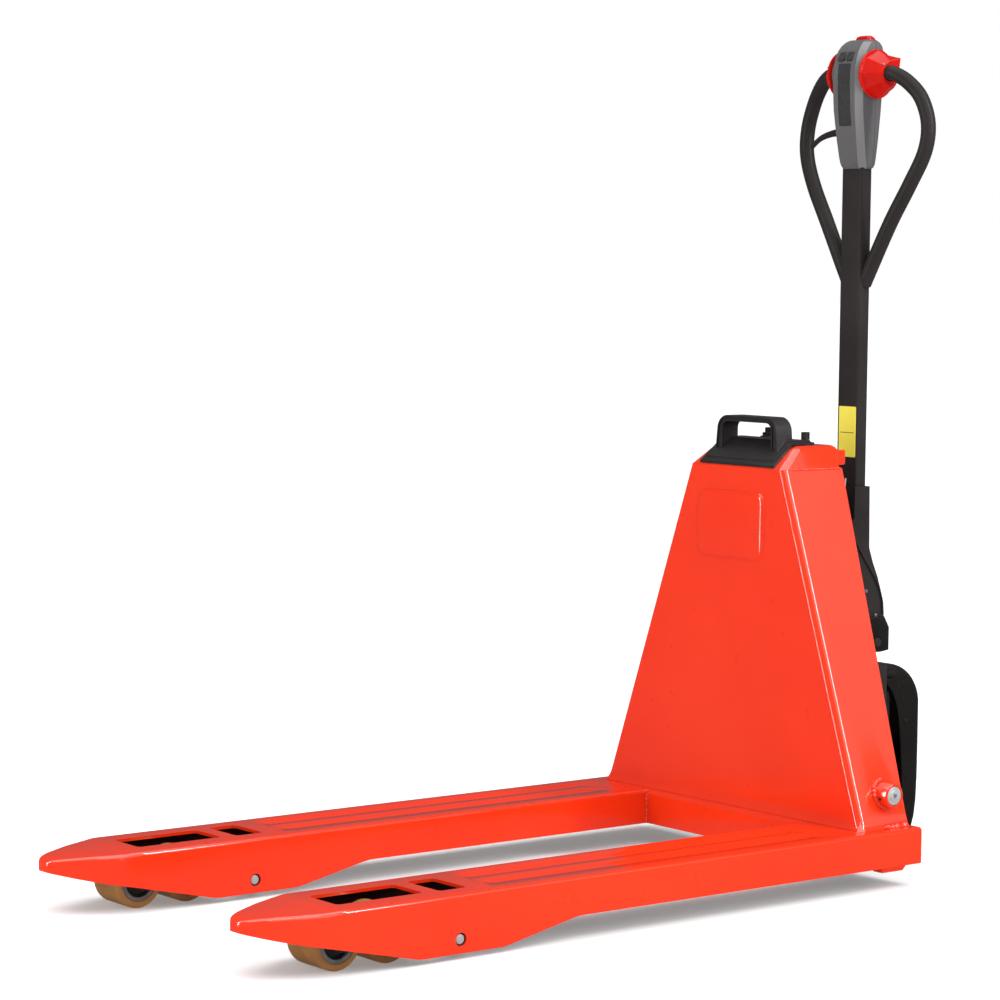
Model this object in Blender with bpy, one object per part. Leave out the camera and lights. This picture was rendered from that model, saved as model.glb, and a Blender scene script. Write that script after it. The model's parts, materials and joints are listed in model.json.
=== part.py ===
"""Electric pallet truck, in metres, +Z up. The forks point along -Y and the tiller stands at +Y.

Every shape is written in the truck's own datum: y = 0 at the rear face of the chassis base, z = 0 on the
floor, x = 0 on the centre line. The empty "truck" then moves all of it, so that the object's box is centred
on the origin. The truck is at rest with its forks lowered, its steering straight and its tiller upright.
"""

import math

import bmesh
import bpy
from mathutils import Matrix, Vector

for old in list(bpy.data.objects):
    bpy.data.objects.remove(old)

# Overall sizes of the chassis
WIDTH = 0.685
FORK_WIDTH = 0.152
FORK_TOP = 0.0965
FORK_TIP_Y = -1.2815
BEAM_BOTTOM = 0.038
BEAM_FRONT_Y = -0.130
WALL = 0.005
GAP = 0.0003
FORK_X = (WIDTH - FORK_WIDTH) / 2

# Load wheels, their arms and the lift
LIFT = 0.110
ROLLER_R = 0.0415
ROLLER_HALF = 0.036
BOGIE_Y = -1.085
BOGIE_HALF = 0.045
ARM_PIVOT = (-0.9415, 0.0297)
LUG_R = 0.048
SHAFT = (-0.0465, 0.150)
REAR_LEVER = 0.1375
REAR_LEVER_X = 0.166

# Mast housing: half-widths and heights of its tapering box
HOUSING_BASE_HALF = 0.3185
HOUSING_TOP_HALF = 0.1155
HOUSING_TOP_Z = 0.668
HOUSING_FRONT_Y = -0.114
CAP_TOP_Z = 0.7055
CAP_TOP_HALF = 0.100
PLATE = 0.004

# Drive unit, steering and tiller
STEER_Y = 0.150
DRIVE_R = 0.105
DRIVE_HALF = 0.035
GUARD_HALF = 0.080
GUARD_REAR_Y = 0.268
DECK_Z = 0.3245
DECK_T = 0.012
RAM_Y = 0.075
TILT = (0.195, 0.355)
MAST_HALF = 0.0245
MAST_FRONT_Y = 0.148
MAST_REAR_Y = 0.1735
HANDLE_R = 0.0128
THROTTLE = (0.165, 1.332)

# The empty that carries the whole truck: half way between fork tip and guard
truck = bpy.data.objects.new("truck", None)
truck.location = (0, -(FORK_TIP_Y + GUARD_REAR_Y) / 2, 0)
bpy.context.scene.collection.objects.link(truck)

# Angles of the lift linkage, all worked out from the lift
arm_length = ARM_PIVOT[0] - BOGIE_Y
arm_rise = math.asin((ROLLER_R - ARM_PIVOT[1]) / arm_length)
arm_fall = math.asin((LIFT + ARM_PIVOT[1] - ROLLER_R) / arm_length)
arm_half_swing = (arm_rise + arm_fall) / 2
rocker_half_swing = math.asin(LIFT / 2 / REAR_LEVER)
rod_travel = 2 * LUG_R * math.sin(arm_half_swing)
rod_lever = rod_travel / 2 / math.sin(rocker_half_swing)
LUG = (
    ARM_PIVOT[0] + LUG_R * math.sin(arm_half_swing),
    ARM_PIVOT[1] + LUG_R * math.cos(arm_half_swing),
)
ROD_REAR = (
    SHAFT[0] + rod_lever * math.sin(rocker_half_swing),
    SHAFT[1] - rod_lever * math.cos(rocker_half_swing),
)
LINK_PIN = (
    SHAFT[0] + REAR_LEVER * math.cos(rocker_half_swing),
    SHAFT[1] + REAR_LEVER * math.sin(rocker_half_swing),
)


# Materials


def material(name, colour, roughness, metallic=0.0):
    mat = bpy.data.materials.new(name)
    mat.use_nodes = True
    shader = mat.node_tree.nodes["Principled BSDF"]
    shader.inputs["Base Color"].default_value = (*colour, 1)
    shader.inputs["Roughness"].default_value = roughness
    shader.inputs["Metallic"].default_value = metallic
    return mat


RED_PAINT = material("red_paint", (0.80, 0.045, 0.010), 0.30)
BLACK_PAINT = material("black_paint", (0.018, 0.016, 0.015), 0.38)
BLACK_PLASTIC = material("black_plastic", (0.022, 0.021, 0.021), 0.45)
GREY_PLASTIC = material("grey_plastic", (0.150, 0.150, 0.160), 0.50)
DARK_PLASTIC = material("dark_plastic", (0.045, 0.045, 0.048), 0.35)
RED_PLASTIC = material("red_plastic", (0.83, 0.020, 0.010), 0.35)
STEEL = material("steel", (0.55, 0.55, 0.56), 0.30, 1.0)
POLYURETHANE = material("polyurethane", (0.50, 0.33, 0.10), 0.40)
RUBBER = material("rubber", (0.020, 0.020, 0.020), 0.60)
ORANGE_CABLE = material("orange_cable", (0.75, 0.20, 0.03), 0.45)


# Shape helpers


def node(name, mesh, mat, origin=(0, 0, 0), smooth=None):
    """An object of the truck, with its origin (its joint's axis, where it moves) at the point given."""
    bmesh.ops.translate(mesh, verts=mesh.verts, vec=-Vector(origin))
    bmesh.ops.recalc_face_normals(mesh, faces=mesh.faces)
    data = bpy.data.meshes.new(name)
    mesh.to_mesh(data)
    mesh.free()
    data.materials.append(mat)
    if smooth is not None:
        data.shade_smooth()
        data.set_sharp_from_angle(angle=math.radians(smooth))
    made = bpy.data.objects.new(name, data)
    made.location = origin
    made.parent = truck
    bpy.context.scene.collection.objects.link(made)
    return made


def helper(name, mesh):
    made = node(name, mesh, STEEL)
    made.hide_render = True
    made.display_type = "WIRE"
    return made


def combine(target, tool_mesh, operation):
    tool = helper(f"{target.name}_tool_{len(target.modifiers)}", tool_mesh)
    modifier = target.modifiers.new(tool.name, "BOOLEAN")
    modifier.operation = operation
    modifier.solver = "EXACT"
    modifier.object = tool


def cut(target, *tools):
    for tool in tools:
        combine(target, tool, "DIFFERENCE")


def join(target, *tools):
    for tool in tools:
        combine(target, tool, "UNION")


def rounded(target, width, segments=2):
    modifier = target.modifiers.new("edges", "BEVEL")
    modifier.width = width
    modifier.segments = segments
    modifier.limit_method = "ANGLE"


def loft(rings):
    """A closed skin through rings of equally many points, with a flat face on each end."""
    mesh = bmesh.new()
    rows = [[mesh.verts.new(point) for point in ring] for ring in rings]
    for lower, upper in zip(rows, rows[1:]):
        for i in range(len(lower)):
            j = (i + 1) % len(lower)
            mesh.faces.new((lower[i], lower[j], upper[j], upper[i]))
    mesh.faces.new(rows[0])
    mesh.faces.new(rows[-1][::-1])
    return mesh


def along(axis, place, flat):
    """The point at this place along an axis, with the other two coordinates in X, Y, Z order."""
    if axis == "x":
        return (place, flat[0], flat[1])
    if axis == "y":
        return (flat[0], place, flat[1])
    return (flat[0], flat[1], place)


def prism(outline, axis, low, high):
    return loft([[along(axis, place, point) for point in outline] for place in (low, high)])


def box(x, y, z):
    return prism([(x[0], y[0]), (x[1], y[0]), (x[1], y[1]), (x[0], y[1])], "z", *z)


def arc(centre, radius, start, end, steps):
    """Points of an arc, with its angles in degrees."""
    found = []
    for i in range(steps + 1):
        angle = math.radians(start + (end - start) * i / steps)
        found.append((centre[0] + radius * math.cos(angle), centre[1] + radius * math.sin(angle)))
    return found


def rounded_rectangle(low, high, radius, steps=2):
    corners = (
        ((high[0] - radius, high[1] - radius), 0),
        ((low[0] + radius, high[1] - radius), 90),
        ((low[0] + radius, low[1] + radius), 180),
        ((high[0] - radius, low[1] + radius), 270),
    )
    return [point for centre, turn in corners for point in arc(centre, radius, turn, turn + 90, steps)]


def bar(first, second, first_r, second_r, steps=5):
    """Outline of a flat link with a round end about each of two pins."""
    turn = math.degrees(math.atan2(second[1] - first[1], second[0] - first[0]))
    far_end = arc(second, second_r, turn - 90, turn + 90, steps)
    return far_end + arc(first, first_r, turn + 90, turn + 270, steps)


def turned(profile, axis, centre, steps=24, bore=False):
    """A turned piece from (radius, place) points; a bored one has a closed profile clear of its axis."""
    rings = []
    for i in range(steps):
        angle = 2 * math.pi * i / steps
        ring = []
        for radius, place in profile:
            flat = (centre[0] + radius * math.cos(angle), centre[1] + radius * math.sin(angle))
            ring.append(along(axis, place, flat))
        rings.append(ring)
    mesh = bmesh.new()
    rows = [[mesh.verts.new(point) for point in ring] for ring in rings]
    count = len(profile)
    for i, row in enumerate(rows):
        after = rows[(i + 1) % steps]
        for k in range(count if bore else count - 1):
            j = (k + 1) % count
            mesh.faces.new((row[k], row[j], after[j], after[k]))
    if not bore:
        mesh.faces.new([row[0] for row in rows])
        mesh.faces.new([row[-1] for row in rows][::-1])
    return mesh


def cylinder(radius, axis, low, high, centre, steps=24):
    return turned([(radius, low), (radius, high)], axis, centre, steps)


def tube(outer, inner, axis, low, high, centre, steps=24):
    return turned([(outer, low), (outer, high), (inner, high), (inner, low)], axis, centre, steps, bore=True)


def mirrored(mesh):
    bmesh.ops.scale(mesh, vec=(-1, 1, 1), verts=mesh.verts)
    bmesh.ops.reverse_faces(mesh, faces=mesh.faces)
    return mesh


def shifted(points, dx):
    return [(x + dx, y) for x, y in points]


# Forks


def fork_ring(y, half, top, bottom, centre, chamfer):
    return [
        (centre - half, y, bottom),
        (centre - half, y, top - chamfer),
        (centre - half + chamfer, y, top),
        (centre + half - chamfer, y, top),
        (centre + half, y, top - chamfer),
        (centre + half, y, bottom),
    ]


def make_fork(name, side):
    """A pressed channel, open below, whose nose narrows and rises; side is +1 or -1."""
    half = FORK_WIDTH / 2
    centre = side * FORK_X
    deep = 0.009
    taper_y = -1.150
    stations = (
        (FORK_TIP_Y, 0.0120, 0.0845, 0.0690, 0.003),
        (-1.2740, 0.0185, 0.0888, 0.0670, 0.005),
        (-1.2557, 0.0275, 0.0912, 0.0625, 0.006),
        (-1.2100, 0.0520, 0.0940, 0.0520, 0.006),
        (taper_y, half, FORK_TOP, 0.040, 0.006),
        (-1.0145, half, FORK_TOP, deep, 0.006),
        (-0.8615, half, FORK_TOP, deep, 0.006),
        (-0.7225, half, FORK_TOP, BEAM_BOTTOM, 0.006),
        (0, half, FORK_TOP, BEAM_BOTTOM, 0.006),
    )
    outer = loft([fork_ring(y, w, top, low, centre, c) for y, w, top, low, c in stations])
    fork = node(name, outer, RED_PAINT, smooth=25)
    below = -0.02
    inside = (
        (-1.232, 0.028, 0.0870),
        (taper_y, half - WALL, FORK_TOP - WALL),
        (-WALL, half - WALL, FORK_TOP - WALL),
    )
    cut(fork, loft([fork_ring(y, w, top, below, centre, 0.003) for y, w, top in inside]))
    over = (0.07, 0.12)
    window = rounded_rectangle((centre - 0.036, -1.131), (centre + 0.036, -0.981), 0.008)
    relief = rounded_rectangle((centre - 0.040, -0.953), (centre + 0.040, -0.911), 0.008)
    slot = rounded_rectangle((centre - 0.014, -0.087), (centre + 0.014, -0.008), 0.006)
    cut(fork, prism(window, "z", *over), prism(relief, "z", *over), prism(slot, "z", *over))
    cut(fork, cylinder(0.0100, "x", centre - half - 0.01, centre + half + 0.01, ARM_PIVOT, 20))
    across = (centre - 0.1, centre + 0.1)
    cut(fork, box(across, (HOUSING_FRONT_Y - 0.004, 0.01), (FORK_TOP - GAP, FORK_TOP + 0.02)))
    skid_x = sorted((side * 0.315, side * 0.340))
    skid = [(-0.085, 0.029), (-0.037, 0.029), (-0.030, 0.036), (-0.030, 0.045), (-0.085, 0.045)]
    join(fork, prism(skid, "x", *skid_x))
    return fork


# Chassis


def make_cross_beam():
    inner = FORK_X - FORK_WIDTH / 2 - GAP
    beam = node("cross_beam", box((-inner, inner), (BEAM_FRONT_Y, 0), (BEAM_BOTTOM, FORK_TOP)), RED_PAINT)
    hollow = box((-inner + WALL, inner - WALL), (BEAM_FRONT_Y + WALL, -WALL), (0, FORK_TOP - WALL))
    cut(beam, hollow)


def housing_half(z):
    """Half-width of the tapering housing at a height."""
    share = (z - FORK_TOP) / (HOUSING_TOP_Z - FORK_TOP)
    return HOUSING_BASE_HALF + (HOUSING_TOP_HALF - HOUSING_BASE_HALF) * share


def housing_front(z):
    share = (z - FORK_TOP) / (HOUSING_TOP_Z - FORK_TOP)
    return HOUSING_FRONT_Y + 0.005 * share


def housing_rear(z):
    share = (z - FORK_TOP) / (HOUSING_TOP_Z - FORK_TOP)
    return -0.008 + 0.0336 * share


def make_housing():
    low = FORK_TOP + GAP
    high = HOUSING_TOP_Z - GAP
    front = []
    for z in (low, high):
        half = housing_half(z)
        y = housing_front(z)
        front.append([(-half, y, z), (half, y, z), (half, y + PLATE, z), (-half, y + PLATE, z)])
    plate = node("housing_front_plate", loft(front), RED_PAINT)
    panel = rounded_rectangle((-0.088, 0.512), (0.078, 0.626), 0.018, 3)
    join(plate, prism(panel, "y", HOUSING_FRONT_Y + 0.0030, HOUSING_FRONT_Y + 0.0065))
    for side, name in ((1, "right"), (-1, "left")):
        rings = []
        for z in (low, high):
            outer = side * housing_half(z)
            inner = outer - side * PLATE
            y = housing_front(z) + PLATE + GAP
            rear = housing_rear(z)
            rings.append([(outer, y, z), (outer, rear, z), (inner, rear, z), (inner, y, z)])
        plate = node(f"housing_side_plate_{name}", loft(rings), RED_PAINT)
        x = sorted((side * 0.25, side * 0.35))
        cut(plate, cylinder(0.0200, "x", *x, SHAFT))
        boss = turned(
            [(0.0197, 0.284), (0.0197, 0.3235), (0.0185, 0.325), (0.0160, 0.325), (0.0160, 0.284)],
            "x", SHAFT, 24, bore=True,
        )
        node(f"shaft_boss_{name}", boss if side > 0 else mirrored(boss), RED_PAINT, smooth=40)


BATTERY_HALF = 0.0755
BATTERY_Y = (-0.0995, -0.0225)
SLOPE = ((-0.109, HOUSING_TOP_Z), (-0.0615, CAP_TOP_Z))


def slope_z(y, lift=0.0):
    """Height of the cap's sloping front and flat top, with a rise above both."""
    (y0, z0), (y1, z1) = SLOPE
    return min(z0 + (z1 - z0) * (y - y0) / (y1 - y0), z1) + lift


def make_cap():
    def ring(inset, z, half, front, rear):
        half = half - inset
        front = front + inset
        rear = rear - inset
        return [(-half, front, z), (half, front, z), (half, rear, z), (-half, rear, z)]

    rear = housing_rear(HOUSING_TOP_Z)
    outer = (
        ring(0, HOUSING_TOP_Z, HOUSING_TOP_HALF, SLOPE[0][0], rear),
        ring(0, CAP_TOP_Z, CAP_TOP_HALF, SLOPE[1][0], 0.033),
    )
    cap = node("housing_cap", loft(outer), RED_PAINT)
    inner = (
        ring(PLATE, HOUSING_TOP_Z - 0.004, HOUSING_TOP_HALF, SLOPE[0][0] - 0.002, rear),
        ring(PLATE, CAP_TOP_Z - PLATE, CAP_TOP_HALF, SLOPE[1][0] - 0.001, 0.033),
    )
    clear = 0.003
    bay_half = BATTERY_HALF + clear
    bay = box((-bay_half, bay_half), (BATTERY_Y[0] - clear, BATTERY_Y[1] + clear), (0.6, 0.8))
    cut(cap, loft(inner), bay)
    bracket = rounded_rectangle((-0.060, 0.0335), (0.060, 0.094), 0.012, 2)
    bracket = node("thrust_bracket", prism(bracket, "z", 0.6675, 0.694), RED_PAINT)
    rounded(bracket, 0.003)


# Battery, key and charging plug on top of the housing


def make_battery():
    profile = [
        (BATTERY_Y[0], 0.420),
        (BATTERY_Y[1], 0.420),
        (BATTERY_Y[1], slope_z(BATTERY_Y[1])),
        (SLOPE[1][0], CAP_TOP_Z),
        (BATTERY_Y[0], slope_z(BATTERY_Y[0])),
    ]
    node("battery_case", prism(profile, "x", -BATTERY_HALF, BATTERY_HALF), DARK_PLASTIC)
    front = -0.1075
    rear = -0.012
    thick = 0.0085
    lid = [
        (front, slope_z(front, 0.0006)),
        (SLOPE[1][0], CAP_TOP_Z + 0.0006),
        (rear, CAP_TOP_Z + 0.0006),
        (rear, CAP_TOP_Z + 0.006),
        (-0.030, CAP_TOP_Z + thick),
        (SLOPE[1][0] - 0.003, CAP_TOP_Z + thick),
        (front - 0.001, slope_z(front, 0.0095)),
    ]
    lid = node("battery_lid", prism(lid, "x", -0.086, 0.086), BLACK_PLASTIC)
    low = CAP_TOP_Z + 0.002
    top = 0.752
    arch = [(0.0765, low), (0.0725, 0.7250)]
    arch += arc((0.0420, top - 0.0280), 0.0280, 15, 90, 4)
    arch += [(-x, z) for x, z in arch[::-1]]
    handle = prism(arch, "y", -0.0870, -0.0500)
    window = [(0.0600, CAP_TOP_Z + 0.0085), (0.0580, 0.7290)]
    window += arc((0.0440, 0.7300), 0.0120, 15, 90, 3)
    window += [(-x, z) for x, z in window[::-1]]
    join(lid, handle)
    cut(lid, prism(window, "y", -0.120, 0.0))


KEY = (0.040, 0.012)


def make_top_fittings():
    key = turned([(0.0070, 0.7060), (0.0070, 0.7110), (0.0050, 0.7115), (0.0050, 0.7130)], "z", KEY, 16)
    key = node("key_knob", key, BLACK_PLASTIC, origin=(*KEY, CAP_TOP_Z))
    join(key, box((KEY[0] - 0.006, KEY[0] + 0.006), (KEY[1] - 0.006, KEY[1] + 0.006), (0.7125, 0.7250)))
    plug = box((-0.057, -0.013), (-0.004, 0.024), (0.7058, 0.7150))
    plug = node("charging_plug", plug, BLACK_PLASTIC)
    join(plug, box((-0.049, -0.021), (0.001, 0.019), (0.7145, 0.7290)))


# Lift linkage


def make_rocker():
    """The torsion shaft, with a lever to each push rod and a lever to each side of the drive carriage."""
    shaft = node("rocker_shaft", cylinder(0.0155, "x", -0.3190, 0.3190, SHAFT, 20), STEEL, (0, *SHAFT), 40)
    for side in (1, -1):
        rear_x = sorted((side * REAR_LEVER_X, side * (REAR_LEVER_X + 0.010)))
        join(shaft, prism(bar(SHAFT, LINK_PIN, 0.024, 0.012), "x", *rear_x))
        pin_x = sorted((side * 0.1440, side * (REAR_LEVER_X + 0.006)))
        join(shaft, cylinder(0.0060, "x", *pin_x, LINK_PIN, 12))
        rod_x = sorted((side * (FORK_X + 0.001), side * (FORK_X + 0.011)))
        join(shaft, prism(bar(SHAFT, ROD_REAR, 0.024, 0.011), "x", *rod_x))
        rod_pin_x = sorted((side * (FORK_X - 0.010), side * (FORK_X + 0.006)))
        join(shaft, cylinder(0.0055, "x", *rod_pin_x, ROD_REAR, 12))
        name = "right" if side > 0 else "left"
        screw = turned(
            [
                (0.0153, 0.3193),
                (0.0153, 0.3230),
                (0.0140, 0.3240),
                (0.0095, 0.3240),
                (0.0088, 0.3265),
                (0.0050, 0.3265),
            ],
            "x", SHAFT, 24,
        )
        screw = node(f"shaft_screw_{name}", screw if side > 0 else mirrored(screw), STEEL, (0, *SHAFT), 40)
        socket_x = sorted((side * 0.3235, side * 0.3290))
        cut(screw, cylinder(0.0045, "x", *socket_x, SHAFT, 6))


def make_wheel_arm(side, name):
    """Two cheeks from the fork's pin to the bogie's pin, joined by a tube, with the push rod's lug above."""
    centre = side * FORK_X
    bogie = (BOGIE_Y, ROLLER_R)
    cheek = bar(ARM_PIVOT, bogie, 0.017, 0.013)
    arm = tube(0.0165, 0.0083, "x", centre - 0.058, centre + 0.058, ARM_PIVOT, 12)
    arm = node(f"wheel_arm_{name}", arm, BLACK_PAINT, (centre, *ARM_PIVOT), 40)
    for end in (-1, 1):
        x = sorted((centre + end * 0.0500, centre + end * 0.0560))
        join(arm, prism(cheek, "x", *x))
    for low, high in ((-0.0160, -0.0090), (0.0090, 0.0160)):
        join(arm, prism(bar(ARM_PIVOT, LUG, 0.0165, 0.0100), "x", centre + low, centre + high))
    join(arm, cylinder(0.0050, "x", centre - 0.012, centre + 0.012, LUG, 12))
    cut(arm, cylinder(0.0083, "x", centre - 0.07, centre + 0.07, ARM_PIVOT, 12))
    cut(arm, cylinder(0.0065, "x", centre - 0.07, centre + 0.07, bogie, 12))
    pin = [(0.0062, -0.0742), (0.0075, -0.0730), (0.0075, 0.0730), (0.0062, 0.0742)]
    pin = turned([(r, centre + x) for r, x in pin], "x", ARM_PIVOT, 12)
    node(f"arm_pin_{name}", pin, STEEL, (centre, *ARM_PIVOT), 40)


def make_bogie(side, name):
    centre = side * FORK_X
    middle = (BOGIE_Y, ROLLER_R)
    front = (BOGIE_Y - BOGIE_HALF, ROLLER_R)
    rear = (BOGIE_Y + BOGIE_HALF, ROLLER_R)
    pivot = [(0.0050, 0.0575), (0.0050, 0.0400), (0.0030, 0.0380)]
    pivot = [(r, centre - x) for r, x in pivot] + [(r, centre + x) for r, x in pivot[::-1]]
    frame = turned(pivot, "x", middle, 12)
    frame = node(f"bogie_{name}", frame, BLACK_PAINT, (centre, *middle), 40)
    for end in (-1, 1):
        x = sorted((centre + end * 0.0385, centre + end * 0.0445))
        join(frame, prism(bar(front, rear, 0.0130, 0.0130), "x", *x))
    for axle_at, label in ((front, "front"), (rear, "rear")):
        cut(frame, cylinder(0.0073, "x", centre - 0.06, centre + 0.06, axle_at, 12))
        axle = [(0.0060, -0.0475), (0.0070, -0.0465), (0.0070, 0.0465), (0.0060, 0.0475)]
        axle = turned([(r, centre + x) for r, x in axle], "x", axle_at, 12)
        node(f"axle_{label}_{name}", axle, STEEL, (centre, *axle_at), 40)
        crown = 0.0020
        tread = [
            (ROLLER_R - crown, -ROLLER_HALF),
            (ROLLER_R, -ROLLER_HALF + 0.003),
            (ROLLER_R, ROLLER_HALF - 0.003),
            (ROLLER_R - crown, ROLLER_HALF),
            (0.0073, ROLLER_HALF),
            (0.0073, -ROLLER_HALF),
        ]
        tread = turned([(r, centre + x) for r, x in tread], "x", axle_at, 24, bore=True)
        node(f"load_roller_{label}_{name}", tread, POLYURETHANE, (centre, *axle_at), 40)


def make_push_rod(side, name):
    """A flat rod in the fork's channel: an eye on the arm's lug, and an upturned open hook on the rocker."""
    centre = side * FORK_X
    low = LUG[1] - 0.009
    high = LUG[1] + 0.009
    rear_top = ROD_REAR[1] + 0.002
    profile = [
        (LUG[0], low),
        (ROD_REAR[0] + 0.012, low),
        (ROD_REAR[0] + 0.014, low + 0.006),
        (ROD_REAR[0] + 0.014, rear_top),
        (ROD_REAR[0] + 0.0075, rear_top),
        (ROD_REAR[0] + 0.0065, ROD_REAR[1] - 0.016),
        (ROD_REAR[0] - 0.0065, ROD_REAR[1] - 0.016),
        (ROD_REAR[0] - 0.0075, rear_top),
        (ROD_REAR[0] - 0.014, rear_top),
        (ROD_REAR[0] - 0.022, high),
        (LUG[0], high),
    ] + arc(LUG, 0.009, 90, 270, 6)[1:-1]
    x = sorted((centre - side * 0.0080, centre - side * 0.0002))
    rod = node(f"push_rod_{name}", prism(profile, "x", *x), STEEL, (centre, *LUG))
    cut(rod, cylinder(0.0053, "x", centre - 0.02, centre + 0.02, LUG, 12))


# Drive carriage: the deck that carries the hydraulics and the steering bearing


def make_carriage():
    low = DECK_Z
    high = DECK_Z + DECK_T
    nose = arc((0, STEER_Y), 0.045, 0, 180, 8)
    outline = [(-0.153, -0.090), (0.153, -0.090), (0.153, 0.085), (0.045, 0.085)]
    outline += nose + [(-0.045, 0.085), (-0.153, 0.085)]
    deck = node("carriage_frame", prism(outline, "z", low, high), BLACK_PAINT)
    for side in (1, -1):
        x = sorted((side * 0.147, side * 0.153))
        join(deck, box(x, (0.030, 0.1040), (0.188, high - 0.001)))
        slot_low = (LINK_PIN[0] - 0.0068, LINK_PIN[1] - 0.0068)
        slot = rounded_rectangle(slot_low, (LINK_PIN[0] + 0.0192, LINK_PIN[1] + 0.0068), 0.006)
        wide = sorted((side * 0.140, side * 0.160))
        cut(deck, prism(slot, "x", *wide))
    cut(deck, cylinder(0.0312, "z", low - 0.01, high + 0.01, (0, STEER_Y), 24))

    top = high + GAP
    tank = rounded_rectangle((-0.085, -0.015), (0.085, 0.045), 0.010)
    tank = node("hydraulic_tank", prism(tank, "z", top, 0.560), BLACK_PAINT)
    join(tank, cylinder(0.012, "z", 0.555, 0.575, (-0.055, 0.015), 12))
    motor = [(0.040, top), (0.040, 0.400), (0.034, 0.408), (0.018, 0.410)]
    node("pump_motor", turned(motor, "z", (0, -0.058)), BLACK_PAINT, smooth=40)
    cylinder_profile = [
        (0.026, top),
        (0.026, 0.590),
        (0.023, 0.600),
        (0.0163, 0.600),
        (0.0163, 0.350),
        (0.0100, 0.349),
        (0.0100, top),
    ]
    node("lift_cylinder", turned(cylinder_profile, "z", (0, RAM_Y), bore=True), STEEL, smooth=40)
    ram = [(0.0157, 0.475), (0.0157, 0.6672 - GAP)]
    node("lift_ram", turned(ram, "z", (0, RAM_Y)), STEEL, smooth=40)


# Drive unit, which turns with the steering


def make_drive_unit():
    steer = (0, STEER_Y, 0)
    shoulder = arc((0.0385, 0.262), 0.037, 0, 90, 5)
    crown = [(-0.0755, 0.222), (0.0755, 0.222)] + shoulder + [(-x, z) for x, z in shoulder[::-1]]
    crown = prism(crown, "y", STEER_Y - 0.040, STEER_Y + 0.040)
    bracket = node("drive_bracket", crown, BLACK_PAINT, steer)
    for side in (1, -1):
        x = sorted((side * 0.0705, side * 0.0755))
        cheek = [(STEER_Y - 0.040, 0.230), (STEER_Y + 0.040, 0.230)]
        cheek += arc((STEER_Y, DRIVE_R), 0.028, 0, -180, 6)
        join(bracket, prism(cheek, "x", *x))
    join(bracket, cylinder(0.0308, "z", 0.232, DECK_Z + DECK_T + 0.001, (0, STEER_Y), 24))
    cut(bracket, cylinder(0.0123, "x", -0.09, 0.09, (STEER_Y, DRIVE_R), 20))

    motor = [(0.030, -0.0700), (0.072, -0.0680), (0.076, -0.0630), (0.076, -0.0400), (0.070, -0.0365)]
    motor = turned(motor + [(0.0123, -0.0365), (0.0123, -0.0700)], "x", (STEER_Y, DRIVE_R), 28, bore=True)
    node("drive_motor", motor, BLACK_PAINT, steer, 40)

    axle = [(0.0105, -0.0825), (0.0120, -0.0815), (0.0120, 0.0815), (0.0105, 0.0825)]
    node("drive_axle", turned(axle, "x", (STEER_Y, DRIVE_R), 20), STEEL, steer, 40)

    wheel_origin = (0, STEER_Y, DRIVE_R)
    tyre = [
        (DRIVE_R - 0.004, -DRIVE_HALF),
        (DRIVE_R, -DRIVE_HALF + 0.005),
        (DRIVE_R, DRIVE_HALF - 0.005),
        (DRIVE_R - 0.004, DRIVE_HALF),
        (0.0800, DRIVE_HALF),
        (0.0800, -DRIVE_HALF),
    ]
    node("drive_tyre", turned(tyre, "x", (STEER_Y, DRIVE_R), 36, bore=True), RUBBER, wheel_origin, 40)
    rim = [
        (0.0797, -0.0330),
        (0.0797, 0.0330),
        (0.0700, 0.0330),
        (0.0660, 0.0180),
        (0.0123, 0.0180),
        (0.0123, -0.0180),
        (0.0660, -0.0180),
        (0.0700, -0.0330),
    ]
    node("drive_hub", turned(rim, "x", (STEER_Y, DRIVE_R), 28, bore=True), STEEL, wheel_origin, 40)


def guard_outline(inset):
    """The guard's rear curve in side view, from its front top edge round to its foot."""
    top = 0.3205 - inset
    rear = GUARD_REAR_Y - inset
    shoulder = arc((0.195, 0.248), 0.0725 - inset, 88, 4, 6)
    foot = [(rear, 0.150), (rear - 0.002, 0.090), (rear - 0.010, 0.030)]
    return [(0.120, top - 0.003), (0.155, top)] + shoulder + foot


def make_drive_guard():
    inner_edge = [(0.222, 0.030), (0.219, 0.130), (0.212, 0.205), (0.203, 0.252)]
    inner_edge += [(0.180, 0.285), (0.150, 0.302), (0.120, 0.306)]
    guard = prism(guard_outline(0) + inner_edge, "x", -GUARD_HALF, GUARD_HALF)
    guard = node("drive_guard", guard, BLACK_PLASTIC, (0, STEER_Y, 0))
    wall = 0.003
    inner = guard_outline(wall)
    inner[0] = (0.100, inner[0][1])
    inner[-1] = (inner[-1][0], 0.010)
    cut(guard, prism(inner + [(0.100, 0.010)], "x", -GUARD_HALF + wall, GUARD_HALF - wall))
    cut(guard, box((-0.046, 0.046), (0.090, 0.192), (0.290, 0.340)))


def make_steer_turret():
    """The block on top of the steering shaft, with the fork that the tiller tilts in."""
    low = DECK_Z + DECK_T + 0.0013
    disc = cylinder(0.040, "z", low, 0.3455, (0, STEER_Y))
    turret = node("steer_turret", disc, BLACK_PAINT, (0, STEER_Y, 0))
    clevis = [
        (STEER_Y + 0.010, low),
        (0.2070, low),
        (0.2251, 0.3400),
        (0.2251, 0.3800),
        (0.2130, 0.4000),
        (STEER_Y + 0.010, 0.4000),
    ]
    join(turret, prism(clevis, "x", -0.0360, 0.0360))
    cut(turret, box((-0.0308, 0.0308), (STEER_Y, 0.240), (0.3455, 0.410)))
    cut(turret, box((-0.0308, 0.0308), (0.1775, 0.240), (0.330, 0.410)))
    cut(turret, cylinder(0.0083, "x", -0.05, 0.05, TILT, 20))


# Tiller


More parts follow.
